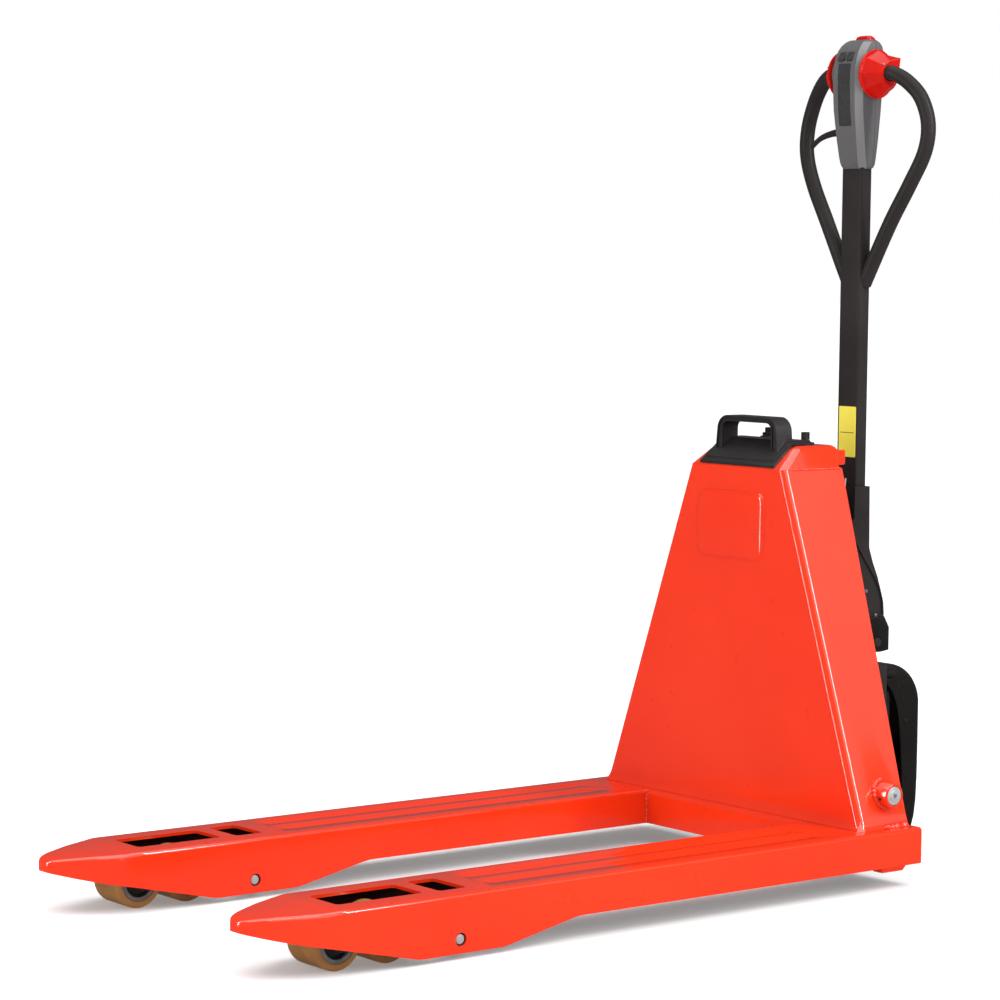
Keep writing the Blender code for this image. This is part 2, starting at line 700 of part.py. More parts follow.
def make_tiller():
    tilt = (0, *TILT)
    cheek = [
        (0.1775, 0.627),
        (0.1410, 0.627),
        (0.1410, 0.572),
        (0.1220, 0.548),
        (0.1220, 0.502),
        (0.1520, 0.400),
        (0.1760, 0.347),
    ]
    cheek += arc(TILT, 0.0160, 205, 335, 5)
    cheek += [(0.2177, 0.403), (0.2158, 0.424), (0.2102, 0.441), (0.2007, 0.468), (0.1885, 0.494), (0.1790, 0.520)]
    base = node("tiller_base", prism(cheek, "x", -0.0303, 0.0303), BLACK_PAINT, tilt)
    cut(base, box((-0.0253, 0.0253), (0.100, 0.240), (0.300, 0.430)))
    inner = [
        (0.110, 0.420),
        (0.2080, 0.420),
        (0.2052, 0.441),
        (0.1955, 0.467),
        (0.1835, 0.493),
        (0.1745, 0.518),
        (0.1745, 0.700),
        (0.1440, 0.700),
        (0.110, 0.560),
    ]
    cut(base, prism(inner, "x", -0.0253, 0.0253))
    cut(base, cylinder(0.0083, "x", -0.05, 0.05, TILT, 20))
    pin = [(0.0068, -0.0400), (0.0080, -0.0388), (0.0080, 0.0388), (0.0068, 0.0400)]
    node("tiller_pin", turned(pin, "x", TILT, 20), STEEL, tilt, 40)

    outer = rounded_rectangle((-MAST_HALF, MAST_FRONT_Y), (MAST_HALF, MAST_REAR_Y - 0.0003), 0.005)
    inside = rounded_rectangle((-MAST_HALF + 0.003, MAST_FRONT_Y + 0.003), (MAST_HALF - 0.003, MAST_REAR_Y - 0.0033), 0.003)
    mast = node("mast_tube", prism(outer, "z", 0.520, 1.300), BLACK_PAINT, tilt, 40)
    cut(mast, prism(inside, "z", 0.500, 1.320))


def make_tiller_cable():
    """The control cable, from the mast's front face down into the foot of the tiller."""
    points = (
        (0.002, 0.1452, 0.640),
        (0.004, 0.1388, 0.612),
        (0.004, 0.1300, 0.580),
        (0.002, 0.1330, 0.545),
        (0.000, 0.1430, 0.518),
        (0.000, 0.1600, 0.501),
        (0.000, 0.1760, 0.484),
        (0.000, 0.1850, 0.470),
    )
    curve = bpy.data.curves.new("tiller_cable", "CURVE")
    curve.dimensions = "3D"
    curve.bevel_depth = 0.0022
    curve.bevel_resolution = 1
    curve.use_fill_caps = True
    spline = curve.splines.new("POLY")
    spline.points.add(len(points) - 1)
    for place, (x, y, z) in zip(spline.points, points):
        place.co = (x, y, z, 1)
    curve.materials.append(ORANGE_CABLE)
    cable = bpy.data.objects.new("tiller_cable", curve)
    cable.parent = truck
    bpy.context.scene.collection.objects.link(cable)


def handle_points():
    """Right half of the teardrop loop: from its foot on the mast, round, to the bar through the head."""
    return [
        (0.0180, 0.1650, 0.9750),
        (0.0360, 0.1652, 1.0070),
        (0.0771, 0.1668, 1.0800),
        (0.1170, 0.1712, 1.1450),
        (0.1425, 0.1782, 1.1980),
        (0.1455, 0.1824, 1.2450),
        (0.1290, 0.1812, 1.2890),
        (0.1030, 0.1735, 1.3175),
        (0.0780, THROTTLE[0] + 0.0010, THROTTLE[1] - 0.0005),
        (0.0660, *THROTTLE),
        (0.0300, *THROTTLE),
    ]


def smooth_path(points, steps):
    """Points of a Catmull-Rom curve through the given ones."""
    path = []
    for i in range(len(points) - 1):
        p0, p1, p2, p3 = (Vector(points[max(0, min(len(points) - 1, k))]) for k in (i - 1, i, i + 1, i + 2))
        for j in range(steps):
            t = j / steps
            path.append(
                0.5 * (2 * p1 + (p2 - p0) * t + (2 * p0 - 5 * p1 + 4 * p2 - p3) * t**2
                + (3 * p1 - p0 - 3 * p2 + p3) * t**3)
            )
    path.append(Vector(points[-1]))
    return path


def make_handle():
    tilt = (0, *TILT)
    right = smooth_path(handle_points(), 2)
    path = right + [Vector((-p.x, p.y, p.z)) for p in right[::-1]]
    sides = 10
    rings = []
    for i, point in enumerate(path):
        before = path[max(i - 1, 0)]
        after = path[min(i + 1, len(path) - 1)]
        forward = (after - before).normalized()
        across = Vector((0, 1, 0)).cross(forward).normalized()
        normal = forward.cross(across)
        ring = []
        for k in range(sides):
            angle = 2 * math.pi * k / sides
            ring.append(point + HANDLE_R * (math.cos(angle) * across + math.sin(angle) * normal))
        rings.append(ring)
    handle = node("loop_handle", loft(rings), BLACK_PAINT, tilt, 60)
    mast = MAST_HALF + GAP
    cut(handle, box((-mast, mast), (0.140, 0.190), (0.940, 1.040)))


def head_section(z, half, front, rear, inset):
    corner = min(half, (rear - front) / 2) * 0.45
    low = (-half + inset, front + inset)
    high = (half - inset, rear - inset)
    flat = rounded_rectangle(low, high, max(corner - inset, 0.002), 3)
    return [(x, y, z) for x, y in flat]


HEAD = (
    (1.1720, 0.0285, 0.1430, 0.1775),
    (1.1800, 0.0300, 0.1415, 0.1795),
    (1.2000, 0.0320, 0.1375, 0.1815),
    (1.2700, 0.0345, 0.1270, 0.1870),
    (1.3300, 0.0355, 0.1245, 0.1935),
    (1.3620, 0.0350, 0.1270, 0.1960),
    (1.3810, 0.0325, 0.1370, 0.1940),
    (1.3910, 0.0270, 0.1500, 0.1880),
)
PARTING_Y = 0.1600


def make_head():
    tilt = (0, *TILT)
    wall = 0.003
    for name, keep_y, mat in (
        ("head_front_shell", (PARTING_Y - GAP / 2, 0.30), GREY_PLASTIC),
        ("head_rear_shell", (0.05, PARTING_Y + GAP / 2), GREY_PLASTIC),
    ):
        shell = node(name, loft([head_section(*row, 0) for row in HEAD]), mat, tilt, 40)
        inner = [head_section(HEAD[0][0] - 0.01, *HEAD[0][1:], wall)]
        inner += [head_section(*row, wall) for row in HEAD[:-1]]
        cut(shell, loft(inner))
        cut(shell, box((-0.06, 0.06), keep_y, (1.10, 1.45)))
        cut(shell, cylinder(0.0135, "x", -0.06, 0.06, THROTTLE, 20))
        if name == "head_front_shell":
            cut(shell, box((-0.0150, 0.0150), (0.11, 0.1600), (1.2440, 1.3490)))
            for x, _ in BUTTONS.values():
                cut(shell, box((x - 0.0072, x + 0.0072), (0.11, 0.1500), (1.3540, 1.3690)))
            cut(shell, box((-0.0450, -0.0200), (0.1520, 0.1800), (1.2200, 1.2450)))
        else:
            cut(shell, box((-0.0450, -0.0200), (0.1500, 0.1730), (1.2200, 1.2450)))
            cut(shell, box((-0.0182, 0.0182), (0.1645, 0.1865), (1.3700, 1.4000)))
    front = [(0.1256, 1.3488), (0.1248, 1.3300), (0.1274, 1.2700), (0.1313, 1.2442)]
    panel = front + [(y + 0.004, z) for y, z in front[::-1]]
    node("head_display", prism(panel, "x", -0.0147, 0.0147), DARK_PLASTIC, tilt)


BUTTONS = {"raise_button": (-0.0095, 1), "lower_button": (0.0095, 1)}


# The throttle knob's body: sections along its axis, each with its radius every 45 degrees from the rear up
KNOB = (
    (0.0390, (0.0380, 0.0415, 0.0400, 0.0385, 0.0380, 0.0385, 0.0412, 0.0405)),
    (0.0440, (0.0365, 0.0412, 0.0385, 0.0355, 0.0345, 0.0360, 0.0400, 0.0390)),
    (0.0550, (0.0320, 0.0408, 0.0330, 0.0280, 0.0270, 0.0300, 0.0340, 0.0340)),
    (0.0670, (0.0240, 0.0380, 0.0220, 0.0180, 0.0180, 0.0200, 0.0240, 0.0260)),
    (0.0690, (0.0220, 0.0360, 0.0200, 0.0165, 0.0165, 0.0185, 0.0220, 0.0240)),
)


def knob_ring(x, radii):
    ring = []
    for i, radius in enumerate(radii):
        angle = math.radians(45 * i)
        ring.append((x, THROTTLE[0] + radius * math.cos(angle), THROTTLE[1] + radius * math.sin(angle)))
    return ring


def make_head_controls():
    button_z = (1.3545, 1.3685)
    for name, (x, _) in BUTTONS.items():
        cap = box((x - 0.0068, x + 0.0068), (0.1240, 0.1440), button_z)
        cap = node(name, cap, DARK_PLASTIC, (x, 0.1240, sum(button_z) / 2))
        rounded(cap, 0.0015, 1)
    belly = rounded_rectangle((-0.0178, 0.1650), (0.0178, 0.1860), 0.006)
    belly = node("belly_button", prism(belly, "z", 1.3740, 1.3990), RED_PLASTIC, (0, 0.1755, 1.3990))
    rounded(belly, 0.003)
    for side, name in ((1, "right"), (-1, "left")):
        centre = (side * 0.055, *THROTTLE)
        disc = cylinder(0.0420, "x", 0.0366, 0.0400, THROTTLE, 32)
        knob = node(f"throttle_{name}", disc if side > 0 else mirrored(disc), RED_PLASTIC, centre, 35)
        body = loft([knob_ring(*row) for row in KNOB])
        join(knob, body if side > 0 else mirrored(body))
        cut(knob, cylinder(0.0136, "x", -0.1, 0.1, THROTTLE, 20))


LEVER = (-0.028, 0.1630, 1.2325)


def make_lowering_lever():
    """A finger lever that sticks out of the head's left side, inside the loop."""
    spine = ((-0.026, 1.2325, 0.0080), (-0.060, 1.2335, 0.0065), (-0.092, 1.2270, 0.0050), (-0.118, 1.2110, 0.0045))
    rings = []
    for x, z, half in spine:
        rings.append([(x, 0.157, z - half), (x, 0.169, z - half), (x, 0.169, z + half), (x, 0.157, z + half)])
    lever = node("lowering_lever", loft(rings), BLACK_PAINT, LEVER)
    rounded(lever, 0.0015, 1)


make_fork("fork_right", 1)
make_fork("fork_left", -1)
make_cross_beam()
make_housing()
make_cap()
make_battery()
make_top_fittings()
make_rocker()
for which, label in ((1, "right"), (-1, "left")):
    make_wheel_arm(which, label)
    make_bogie(which, label)
    make_push_rod(which, label)
make_carriage()
make_drive_unit()
make_drive_guard()
make_steer_turret()
make_tiller()
make_tiller_cable()
make_handle()
make_head()
make_head_controls()
make_lowering_lever()
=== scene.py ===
"""The looks of the electric pallet truck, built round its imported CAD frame.

Shapes are written in the truck's own datum, in metres: x = 0 on the centre line, y = 0 at the rear face of
the cross beam and z = 0 on the floor. The forks point along -Y. piece() moves each one into the frame.
"""

import json
import math
import random

import bmesh
import bpy
from mathutils import Matrix, Vector


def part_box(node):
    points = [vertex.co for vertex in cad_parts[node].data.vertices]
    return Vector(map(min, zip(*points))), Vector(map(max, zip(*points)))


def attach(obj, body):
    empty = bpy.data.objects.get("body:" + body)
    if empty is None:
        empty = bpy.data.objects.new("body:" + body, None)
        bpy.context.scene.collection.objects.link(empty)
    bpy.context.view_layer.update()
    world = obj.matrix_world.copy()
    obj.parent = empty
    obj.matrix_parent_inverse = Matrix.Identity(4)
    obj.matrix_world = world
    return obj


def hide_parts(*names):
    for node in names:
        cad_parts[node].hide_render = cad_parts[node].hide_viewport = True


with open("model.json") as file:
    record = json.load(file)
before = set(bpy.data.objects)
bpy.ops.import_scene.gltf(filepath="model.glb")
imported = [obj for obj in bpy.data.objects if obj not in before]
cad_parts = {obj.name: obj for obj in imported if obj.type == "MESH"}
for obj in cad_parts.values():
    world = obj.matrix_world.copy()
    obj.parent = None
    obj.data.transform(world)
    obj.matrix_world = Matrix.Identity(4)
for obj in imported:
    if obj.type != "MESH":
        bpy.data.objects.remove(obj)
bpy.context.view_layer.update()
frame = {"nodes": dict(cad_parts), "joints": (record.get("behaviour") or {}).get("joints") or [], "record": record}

# Where the datum stands along the frame's Y
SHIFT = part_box("cross_beam")[1][1]


def spans(node):
    """The x, y and z ranges of a CAD node, in the datum."""
    low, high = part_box(node)
    return (low[0], high[0]), (low[1] - SHIFT, high[1] - SHIFT), (low[2], high[2])


# Sizes that the frame gives
(FORK_INNER, FORK_OUTER), (TIP_Y, _), (_, FORK_TOP) = spans("fork_right")
FORK_HALF = (FORK_OUTER - FORK_INNER) / 2
FORK_X = FORK_OUTER - FORK_HALF
BEAM_FRONT, BEAM_BOTTOM = spans("cross_beam")[1][0], spans("cross_beam")[2][0]
SHEET = 0.004

# Joints' axes, as the CAD has them
JOINTS = {joint["name"]: joint for joint in frame["joints"]}


def axis_point(joint):
    """The y and z of a sideways joint's axis, in the datum."""
    x, y, z = JOINTS[joint]["pos_m"]
    return (y - SHIFT, z)


ARM_PIVOT = axis_point("arm_swing_right")
ROLLERS = {"front": axis_point("roller_spin_front_right"), "rear": axis_point("roller_spin_rear_right")}
ROLLER_R = ROLLERS["front"][1]
SHAFT = axis_point("rocker_swing")
WHEEL = axis_point("drive_wheel_spin")
TILT = axis_point("tiller_tilt")
THROTTLE = axis_point("throttle_right_turn")

SIDES = (("right", 1), ("left", -1))


# Materials


def node_material(name, roughness, metallic=0.0, coat=0.0, coat_roughness=0.1, coat_ior=1.5, specular=0.5):
    material = bpy.data.materials.new(name)
    material.use_nodes = True
    shader = material.node_tree.nodes["Principled BSDF"]
    values = {
        "Roughness": roughness, "Metallic": metallic, "Specular IOR Level": specular,
        "Coat Weight": coat, "Coat Roughness": coat_roughness, "Coat IOR": coat_ior,
    }
    for socket, value in values.items():
        shader.inputs[socket].default_value = value
    return material, material.node_tree, shader


def noise(tree, scale, detail=2.0, stretch=(1, 1, 1)):
    """A noise over the piece's own coordinates, stretched along the axes given."""
    place = tree.nodes.new("ShaderNodeTexCoord")
    mapping = tree.nodes.new("ShaderNodeMapping")
    mapping.inputs["Scale"].default_value = stretch
    tree.links.new(place.outputs["Object"], mapping.inputs["Vector"])
    texture = tree.nodes.new("ShaderNodeTexNoise")
    texture.inputs["Scale"].default_value = scale
    texture.inputs["Detail"].default_value = detail
    tree.links.new(mapping.outputs["Vector"], texture.inputs["Vector"])
    return texture.outputs["Fac"]


def spread(tree, value, low, high):
    """A noise's usual values, 0.3 to 0.7, spread over the range low to high."""
    remap = tree.nodes.new("ShaderNodeMapRange")
    for socket, number in (("From Min", 0.3), ("From Max", 0.7), ("To Min", low), ("To Max", high)):
        remap.inputs[socket].default_value = number
    tree.links.new(value, remap.inputs["Value"])
    return remap.outputs["Result"]


def mixed(tree, factor, first, second):
    mix = tree.nodes.new("ShaderNodeMix")
    mix.data_type = "RGBA"
    tree.links.new(factor, mix.inputs["Factor"])
    mix.inputs["A"].default_value = (*first, 1)
    mix.inputs["B"].default_value = (*second, 1)
    return mix.outputs["Result"]


def bumped(tree, shader, height, distance):
    bump = tree.nodes.new("ShaderNodeBump")
    bump.inputs["Distance"].default_value = distance
    tree.links.new(height, bump.inputs["Height"])
    tree.links.new(bump.outputs["Normal"], shader.inputs["Normal"])


def surface(name, dark, light, roughness, grain, depth, patch=6.0, stretch=(1, 1, 1), **shading):
    """A finish whose colour drifts between two tones; grain is its scale, depth is in micrometres."""
    material, tree, shader = node_material(name, sum(roughness) / 2, **shading)
    drift = noise(tree, patch, 3.0)
    colour = mixed(tree, spread(tree, drift, 0.0, 1.0), dark, light)
    tree.links.new(colour, shader.inputs["Base Color"])
    streaks = spread(tree, noise(tree, patch * 7, 4.0, stretch), *roughness)
    tree.links.new(streaks, shader.inputs["Roughness"])
    bumped(tree, shader, noise(tree, grain, 2.0, stretch), depth * 1e-6)
    return material


RED = surface(
    "red_paint", (0.8, 0.028, 0.003), (0.86, 0.036, 0.005), (0.27, 0.33), 420, 30,
    patch=4, coat=1.0, coat_roughness=0.1, coat_ior=1.8, specular=0.08,
)
RED_WELD = surface(
    "red_paint_on_weld", (0.74, 0.024, 0.003), (0.84, 0.038, 0.008), (0.2, 0.3), 260, 600,
    patch=40, coat=0.5, coat_roughness=0.06,
)
BLACK = surface(
    "black_powder_coat", (0.021, 0.018, 0.018), (0.031, 0.027, 0.027), (0.3, 0.4), 1500, 60, specular=0.1,
)
# Painted highlight: a lighter black for a thin strip along the tiller foot's rib edges, standing for the light
# that their rounded edges catch.
BLACK_EDGE_HIGHLIGHT = surface(
    "black_paint_painted_highlight", (0.04, 0.036, 0.035), (0.055, 0.05, 0.048), (0.3, 0.42), 1500, 100,
)
# Painted shade: a near-black red put on the faces inside the forks' channels, standing for the shadow in there.
CHANNEL_SHADE = surface(
    "painted_shade_inside", (0.02, 0.004, 0.003), (0.034, 0.007, 0.004), (0.5, 0.6), 900, 100, specular=0.1,
)
ZINC = surface(
    "zinc_plate", (0.42, 0.42, 0.43), (0.56, 0.56, 0.57), (0.26, 0.36), 900, 60, patch=60, metallic=0.35,
)
CAST = surface("black_gloss_casting", (0.008, 0.008, 0.008), (0.016, 0.015, 0.015), (0.12, 0.22), 240, 300)
MOULDED = surface("black_moulding", (0.012, 0.011, 0.011), (0.019, 0.018, 0.018), (0.4, 0.52), 2200, 120)
GUARD = surface(
    "guard_moulding", (0.006, 0.005, 0.005), (0.01, 0.009, 0.008), (0.22, 0.3), 1800, 60, specular=0.3,
)
LID = surface("battery_moulding", (0.015, 0.013, 0.013), (0.024, 0.02, 0.02), (0.28, 0.38), 2400, 80)
GREY = surface("grey_moulding", (0.086, 0.084, 0.088), (0.104, 0.101, 0.106), (0.4, 0.52), 2600, 120)
# Painted highlight: a lighter copy of the grey moulding for the head's faces that look forward and sideways,
# standing for the sheen they catch.
GREY_SHEEN_BAND = surface(
    "grey_moulding_painted_highlight", (0.165, 0.163, 0.167), (0.195, 0.192, 0.196), (0.4, 0.5), 2600, 120,
)
SMOKE = surface("dark_film", (0.03, 0.03, 0.031), (0.042, 0.042, 0.044), (0.32, 0.42), 900, 40)
STRIP = surface("dark_strip", (0.03, 0.029, 0.03), (0.042, 0.041, 0.042), (0.22, 0.3), 700, 30)
RED_KNOB = surface(
    "red_moulding", (0.48, 0.004, 0.001), (0.58, 0.007, 0.002), (0.16, 0.24), 1400, 60, patch=14,
    specular=0.35,
)
STEEL = surface(
    "turned_steel", (0.46, 0.46, 0.47), (0.66, 0.66, 0.67), (0.22, 0.38), 900, 80,
    patch=60, stretch=(0.06, 1, 1), metallic=1.0,
)
DULL_STEEL = surface(
    "dull_steel", (0.2, 0.2, 0.2), (0.34, 0.33, 0.33), (0.34, 0.5), 900, 120, patch=60, metallic=0.6,
)
ROD_STEEL = surface(
    "drawn_steel", (0.3, 0.3, 0.3), (0.46, 0.45, 0.44), (0.32, 0.5), 700, 100,
    patch=20, stretch=(1, 0.05, 1), metallic=1.0,
)
CHROME = surface(
    "ground_chrome", (0.7, 0.7, 0.71), (0.8, 0.8, 0.81), (0.06, 0.12), 1200, 20,
    patch=12, stretch=(1, 1, 0.05), metallic=1.0,
)
AMBER = surface(
    "amber_polyurethane", (0.3, 0.115, 0.026), (0.42, 0.2, 0.05), (0.28, 0.42), 500, 120, patch=24,
    coat=0.15,
)
RUBBER = surface(
    "drive_rubber", (0.016, 0.016, 0.016), (0.032, 0.031, 0.03), (0.55, 0.72), 800, 300, patch=18,
)
YELLOW = surface("yellow_label", (0.9, 0.86, 0.075), (0.96, 0.92, 0.095), (0.34, 0.42), 600, 20, patch=30)
ORANGE_WIRE = surface("orange_insulation", (0.72, 0.18, 0.03), (0.82, 0.24, 0.05), (0.36, 0.46), 900, 40)
WHITE_WIRE = surface("white_insulation", (0.66, 0.64, 0.6), (0.76, 0.74, 0.7), (0.36, 0.46), 900, 40)

# The material slot that a finish stands for, unless piece() is told another
SLOTS = {
    "red_paint": (RED, RED_WELD),
    "black_paint": (BLACK, BLACK_EDGE_HIGHLIGHT),
    "black_plastic": (MOULDED, GUARD, LID),
    "grey_plastic": (GREY,),
    "dark_plastic": (SMOKE, STRIP),
    "red_plastic": (RED_KNOB,),
    "steel": (ZINC, CAST, CHROME, DULL_STEEL, STEEL),
    "polyurethane": (AMBER,),
    "rubber": (RUBBER,),
    "cable": (ORANGE_WIRE, WHITE_WIRE),
}
SLOT_OF = {finish.name: slot for slot, finishes in SLOTS.items() for finish in finishes}


# Shapes


def loft(rings):
    """A closed skin through rings of equally many points, with a face on each end."""
    mesh = bmesh.new()
    rows = [[mesh.verts.new(point) for point in ring] for ring in rings]
    for lower, upper in zip(rows, rows[1:]):
        for i in range(len(lower)):
            j = (i + 1) % len(lower)
            mesh.faces.new((lower[i], lower[j], upper[j], upper[i]))
    mesh.faces.new(rows[0])
    mesh.faces.new(rows[-1][::-1])
    return mesh


def along(axis, place, flat):
    """The point at this place along an axis, with the other two coordinates in X, Y, Z order."""
    k = "xyz".index(axis)
    return (*flat[:k], place, *flat[k:])


def prism(outline, axis, low, high):
    return loft([[along(axis, place, point) for point in outline] for place in (low, high)])


def box(x, y, z):
    return prism([(x[0], y[0]), (x[1], y[0]), (x[1], y[1]), (x[0], y[1])], "z", *z)


def arc(centre, radius, start, end, steps):
    """Points of an arc, with its angles in degrees."""
    angles = [math.radians(start + (end - start) * i / steps) for i in range(steps + 1)]
    return [(centre[0] + radius * math.cos(a), centre[1] + radius * math.sin(a)) for a in angles]


def rounded_rectangle(low, high, radius, steps=6):
    (x0, y0), (x1, y1) = (v + radius for v in low), (v - radius for v in high)
    centres = (x1, y1), (x0, y1), (x0, y0), (x1, y0)
    return [p for i, centre in enumerate(centres) for p in arc(centre, radius, 90 * i, 90 * i + 90, steps)]


def slab(axis, low, high, places, radius, steps=6):
    """A plate with rounded corners, between two places on an axis."""
    return prism(rounded_rectangle(low, high, radius, steps), axis, *places)


def both_sides(points, k=0):
    """The points, then their mirror images in reverse, with coordinate k negated."""
    return points + [tuple(-v if i == k else v for i, v in enumerate(point)) for point in points[::-1]]


def turned(profile, axis, centre, steps=48, bore=False):
    """A turned piece from (radius, place) points; a bored one has a closed profile clear of its axis."""
    mesh = bmesh.new()
    rows = []
    for i in range(steps):
        angle = 2 * math.pi * i / steps
        turn = (math.cos(angle), math.sin(angle))
        row = [along(axis, p, (centre[0] + r * turn[0], centre[1] + r * turn[1])) for r, p in profile]
        rows.append([mesh.verts.new(point) for point in row])
    count = len(profile)
    for i, row in enumerate(rows):
        after = rows[(i + 1) % steps]
        for k in range(count if bore else count - 1):
            j = (k + 1) % count
            mesh.faces.new((row[k], row[j], after[j], after[k]))
    if not bore:
        mesh.faces.new([row[0] for row in rows])
        mesh.faces.new([row[-1] for row in rows][::-1])
    return mesh


def cylinder(radius, axis, low, high, centre, steps=32):
    return turned([(radius, low), (radius, high)], axis, centre, steps)


def smooth_path(points, steps):
    """Points of a Catmull-Rom curve through the given ones."""
    path = []
    last = len(points) - 1
    for i in range(last):
        p0, p1, p2, p3 = (Vector(points[max(0, min(last, k))]) for k in (i - 1, i, i + 1, i + 2))
        for j in range(steps):
            t = j / steps
            bend = (2 * p0 - 5 * p1 + 4 * p2 - p3) * t**2 + (3 * p1 - p0 - 3 * p2 + p3) * t**3
            path.append(0.5 * (2 * p1 + (p2 - p0) * t + bend))
    path.append(Vector(points[-1]))
    return path


def swept(path, radius, sides=20, upright=(0, 1, 0), flatten=1.0):
    """A bar along a path. radius is a number, or a function of the path's share and the angle round it."""
    rings = []
    for i, point in enumerate(path):
        forward = (Vector(path[min(i + 1, len(path) - 1)]) - Vector(path[max(i - 1, 0)])).normalized()
        across = Vector(upright).cross(forward).normalized()
        normal = forward.cross(across)
        ring = []
        for k in range(sides):
            angle = 2 * math.pi * k / sides
            r = radius(i / (len(path) - 1), angle) if callable(radius) else radius
            ring.append(Vector(point) + r * (math.cos(angle) * across + flatten * math.sin(angle) * normal))
        rings.append(ring)
    return loft(rings)


def on_side(mesh, side):
    """A mesh drawn on the +X side, moved to the side given."""
    if side < 0:
        bmesh.ops.scale(mesh, vec=(-1, 1, 1), verts=mesh.verts)
        bmesh.ops.reverse_faces(mesh, faces=mesh.faces)
    return mesh


def placed(name, data):
    made = bpy.data.objects.new(name, data)
    bpy.context.scene.collection.objects.link(made)
    return made


def plain_object(mesh):
    bmesh.ops.recalc_face_normals(mesh, faces=mesh.faces)
    data = bpy.data.meshes.new("working")
    mesh.to_mesh(data)
    mesh.free()
    return placed("working", data)


def combined(mesh, others, operation="DIFFERENCE"):
    """The mesh after an exact Boolean with each of the others."""
    base = plain_object(mesh)
    tools = [plain_object(other) for other in others]
    for tool in tools:
        modifier = base.modifiers.new("tool", "BOOLEAN")
        modifier.operation = operation
        modifier.solver = "EXACT"
        modifier.object = tool
    bpy.context.view_layer.update()
    evaluated = base.evaluated_get(bpy.context.evaluated_depsgraph_get())
    result = bmesh.new()
    result.from_mesh(evaluated.to_mesh())
    evaluated.to_mesh_clear()
    for used in [base, *tools]:
        bpy.data.meshes.remove(used.data)
    return result


def piece(name, mesh, material, body, *nodes, bevel=0.0, segments=3, slot=None, sharp=32):
    """A finished piece that rides on a body and stands for the CAD nodes named."""
    bmesh.ops.translate(mesh, vec=(0, SHIFT, 0), verts=mesh.verts)
    made = plain_object(mesh)
    made.name = name
    made.data.name = name
    made.data.materials.append(material)
    made.data.shade_smooth()
    if bevel:
        modifier = made.modifiers.new("edges", "BEVEL")
        modifier.width = bevel
        modifier.segments = segments
        modifier.limit_method = "ANGLE"
        modifier.angle_limit = math.radians(sharp)
        modifier.harden_normals = True
    else:
        made.data.set_sharp_from_angle(angle=math.radians(sharp))
    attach(made, body)
    if nodes:
        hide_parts(*nodes)
    slot = SLOT_OF.get(material.name) if slot is None else slot
    return made


def finished(node, mesh, material, body, **options):
    """A piece that stands for one CAD node."""
    return piece(f"{node}_finished", mesh, material, body, node, **options)


def refined(node, material, body, bevel=0.0008):
    """A CAD node's own shape with merged faces, smooth rounds and broken edges."""
    mesh = bmesh.new()
    mesh.from_mesh(frame["nodes"][node].data)
    bmesh.ops.remove_doubles(mesh, verts=mesh.verts, dist=2e-6)
    bmesh.ops.dissolve_limit(mesh, angle_limit=math.radians(0.5), verts=mesh.verts, edges=mesh.edges)
    bmesh.ops.translate(mesh, vec=(0, -SHIFT, 0), verts=mesh.verts)
    slots = {part["node"]: part["material_slot"] for part in frame["record"]["subparts"]}
    return finished(node, mesh, material, body, bevel=bevel, segments=2, slot=slots[node])


def weld_bead(name, path, radius, body, seed, upright=(0, 0, 1)):
    """A painted weld bead: a lumpy half-buried rope along a path."""
    chance = random.Random(seed)
    phase = chance.uniform(0, 6)
    steps = [Vector(point) for point in path]
    length = sum((b - a).length for a, b in zip(steps, steps[1:]))
    ripples = length / (radius * 1.6)

    def lumpy(share, angle):
        ripple = 0.14 * math.sin(2 * math.pi * ripples * share + phase)
        drift = 0.16 * math.sin(17 * share + 2.3 * phase) + 0.1 * math.sin(41 * share + phase)
        end = min(1.0, 12 * share + 0.25, 12 * (1 - share) + 0.25)
        return radius * end * (1 + ripple + drift + 0.05 * math.sin(3 * angle + 9 * share))

    fine = max(12, int(ripples * 6))
    walk = []
    for i in range(fine + 1):
        place = i / fine * (len(steps) - 1)
        low = min(int(place), len(steps) - 2)
        walk.append(steps[low].lerp(steps[low + 1], place - low))
    return piece(name, swept(walk, lumpy, 10, upright), RED_WELD, body, sharp=60)


def socket_screw(name, radius, height, centre, body, side, material=STEEL):
    """A small domed screw with a hexagon socket, its head standing out sideways from the place given."""
    place, flat = centre
    dome = ((1, -0.0005), (1, height * 0.55), (0.86, height * 0.9), (0.6, height))
    head = turned([(radius * share, place + side * out) for share, out in dome], "x", flat, 24)
    low, high = sorted((place + side * height * 0.45, place + side * height * 1.6))
    head = combined(head, [cylinder(radius * 0.48, "x", low, high, flat, 6)])
    return piece(name, head, material, body, bevel=radius * 0.06, segments=2, slot="")


# Forks


def between(points, y):
    """The value at y of a line through (y, value) points."""
    for (y0, v0), (y1, v1) in zip(points, points[1:]):
        if y <= y1:
            return v0 + (v1 - v0) * (y - y0) / (y1 - y0)
    return points[-1][1]


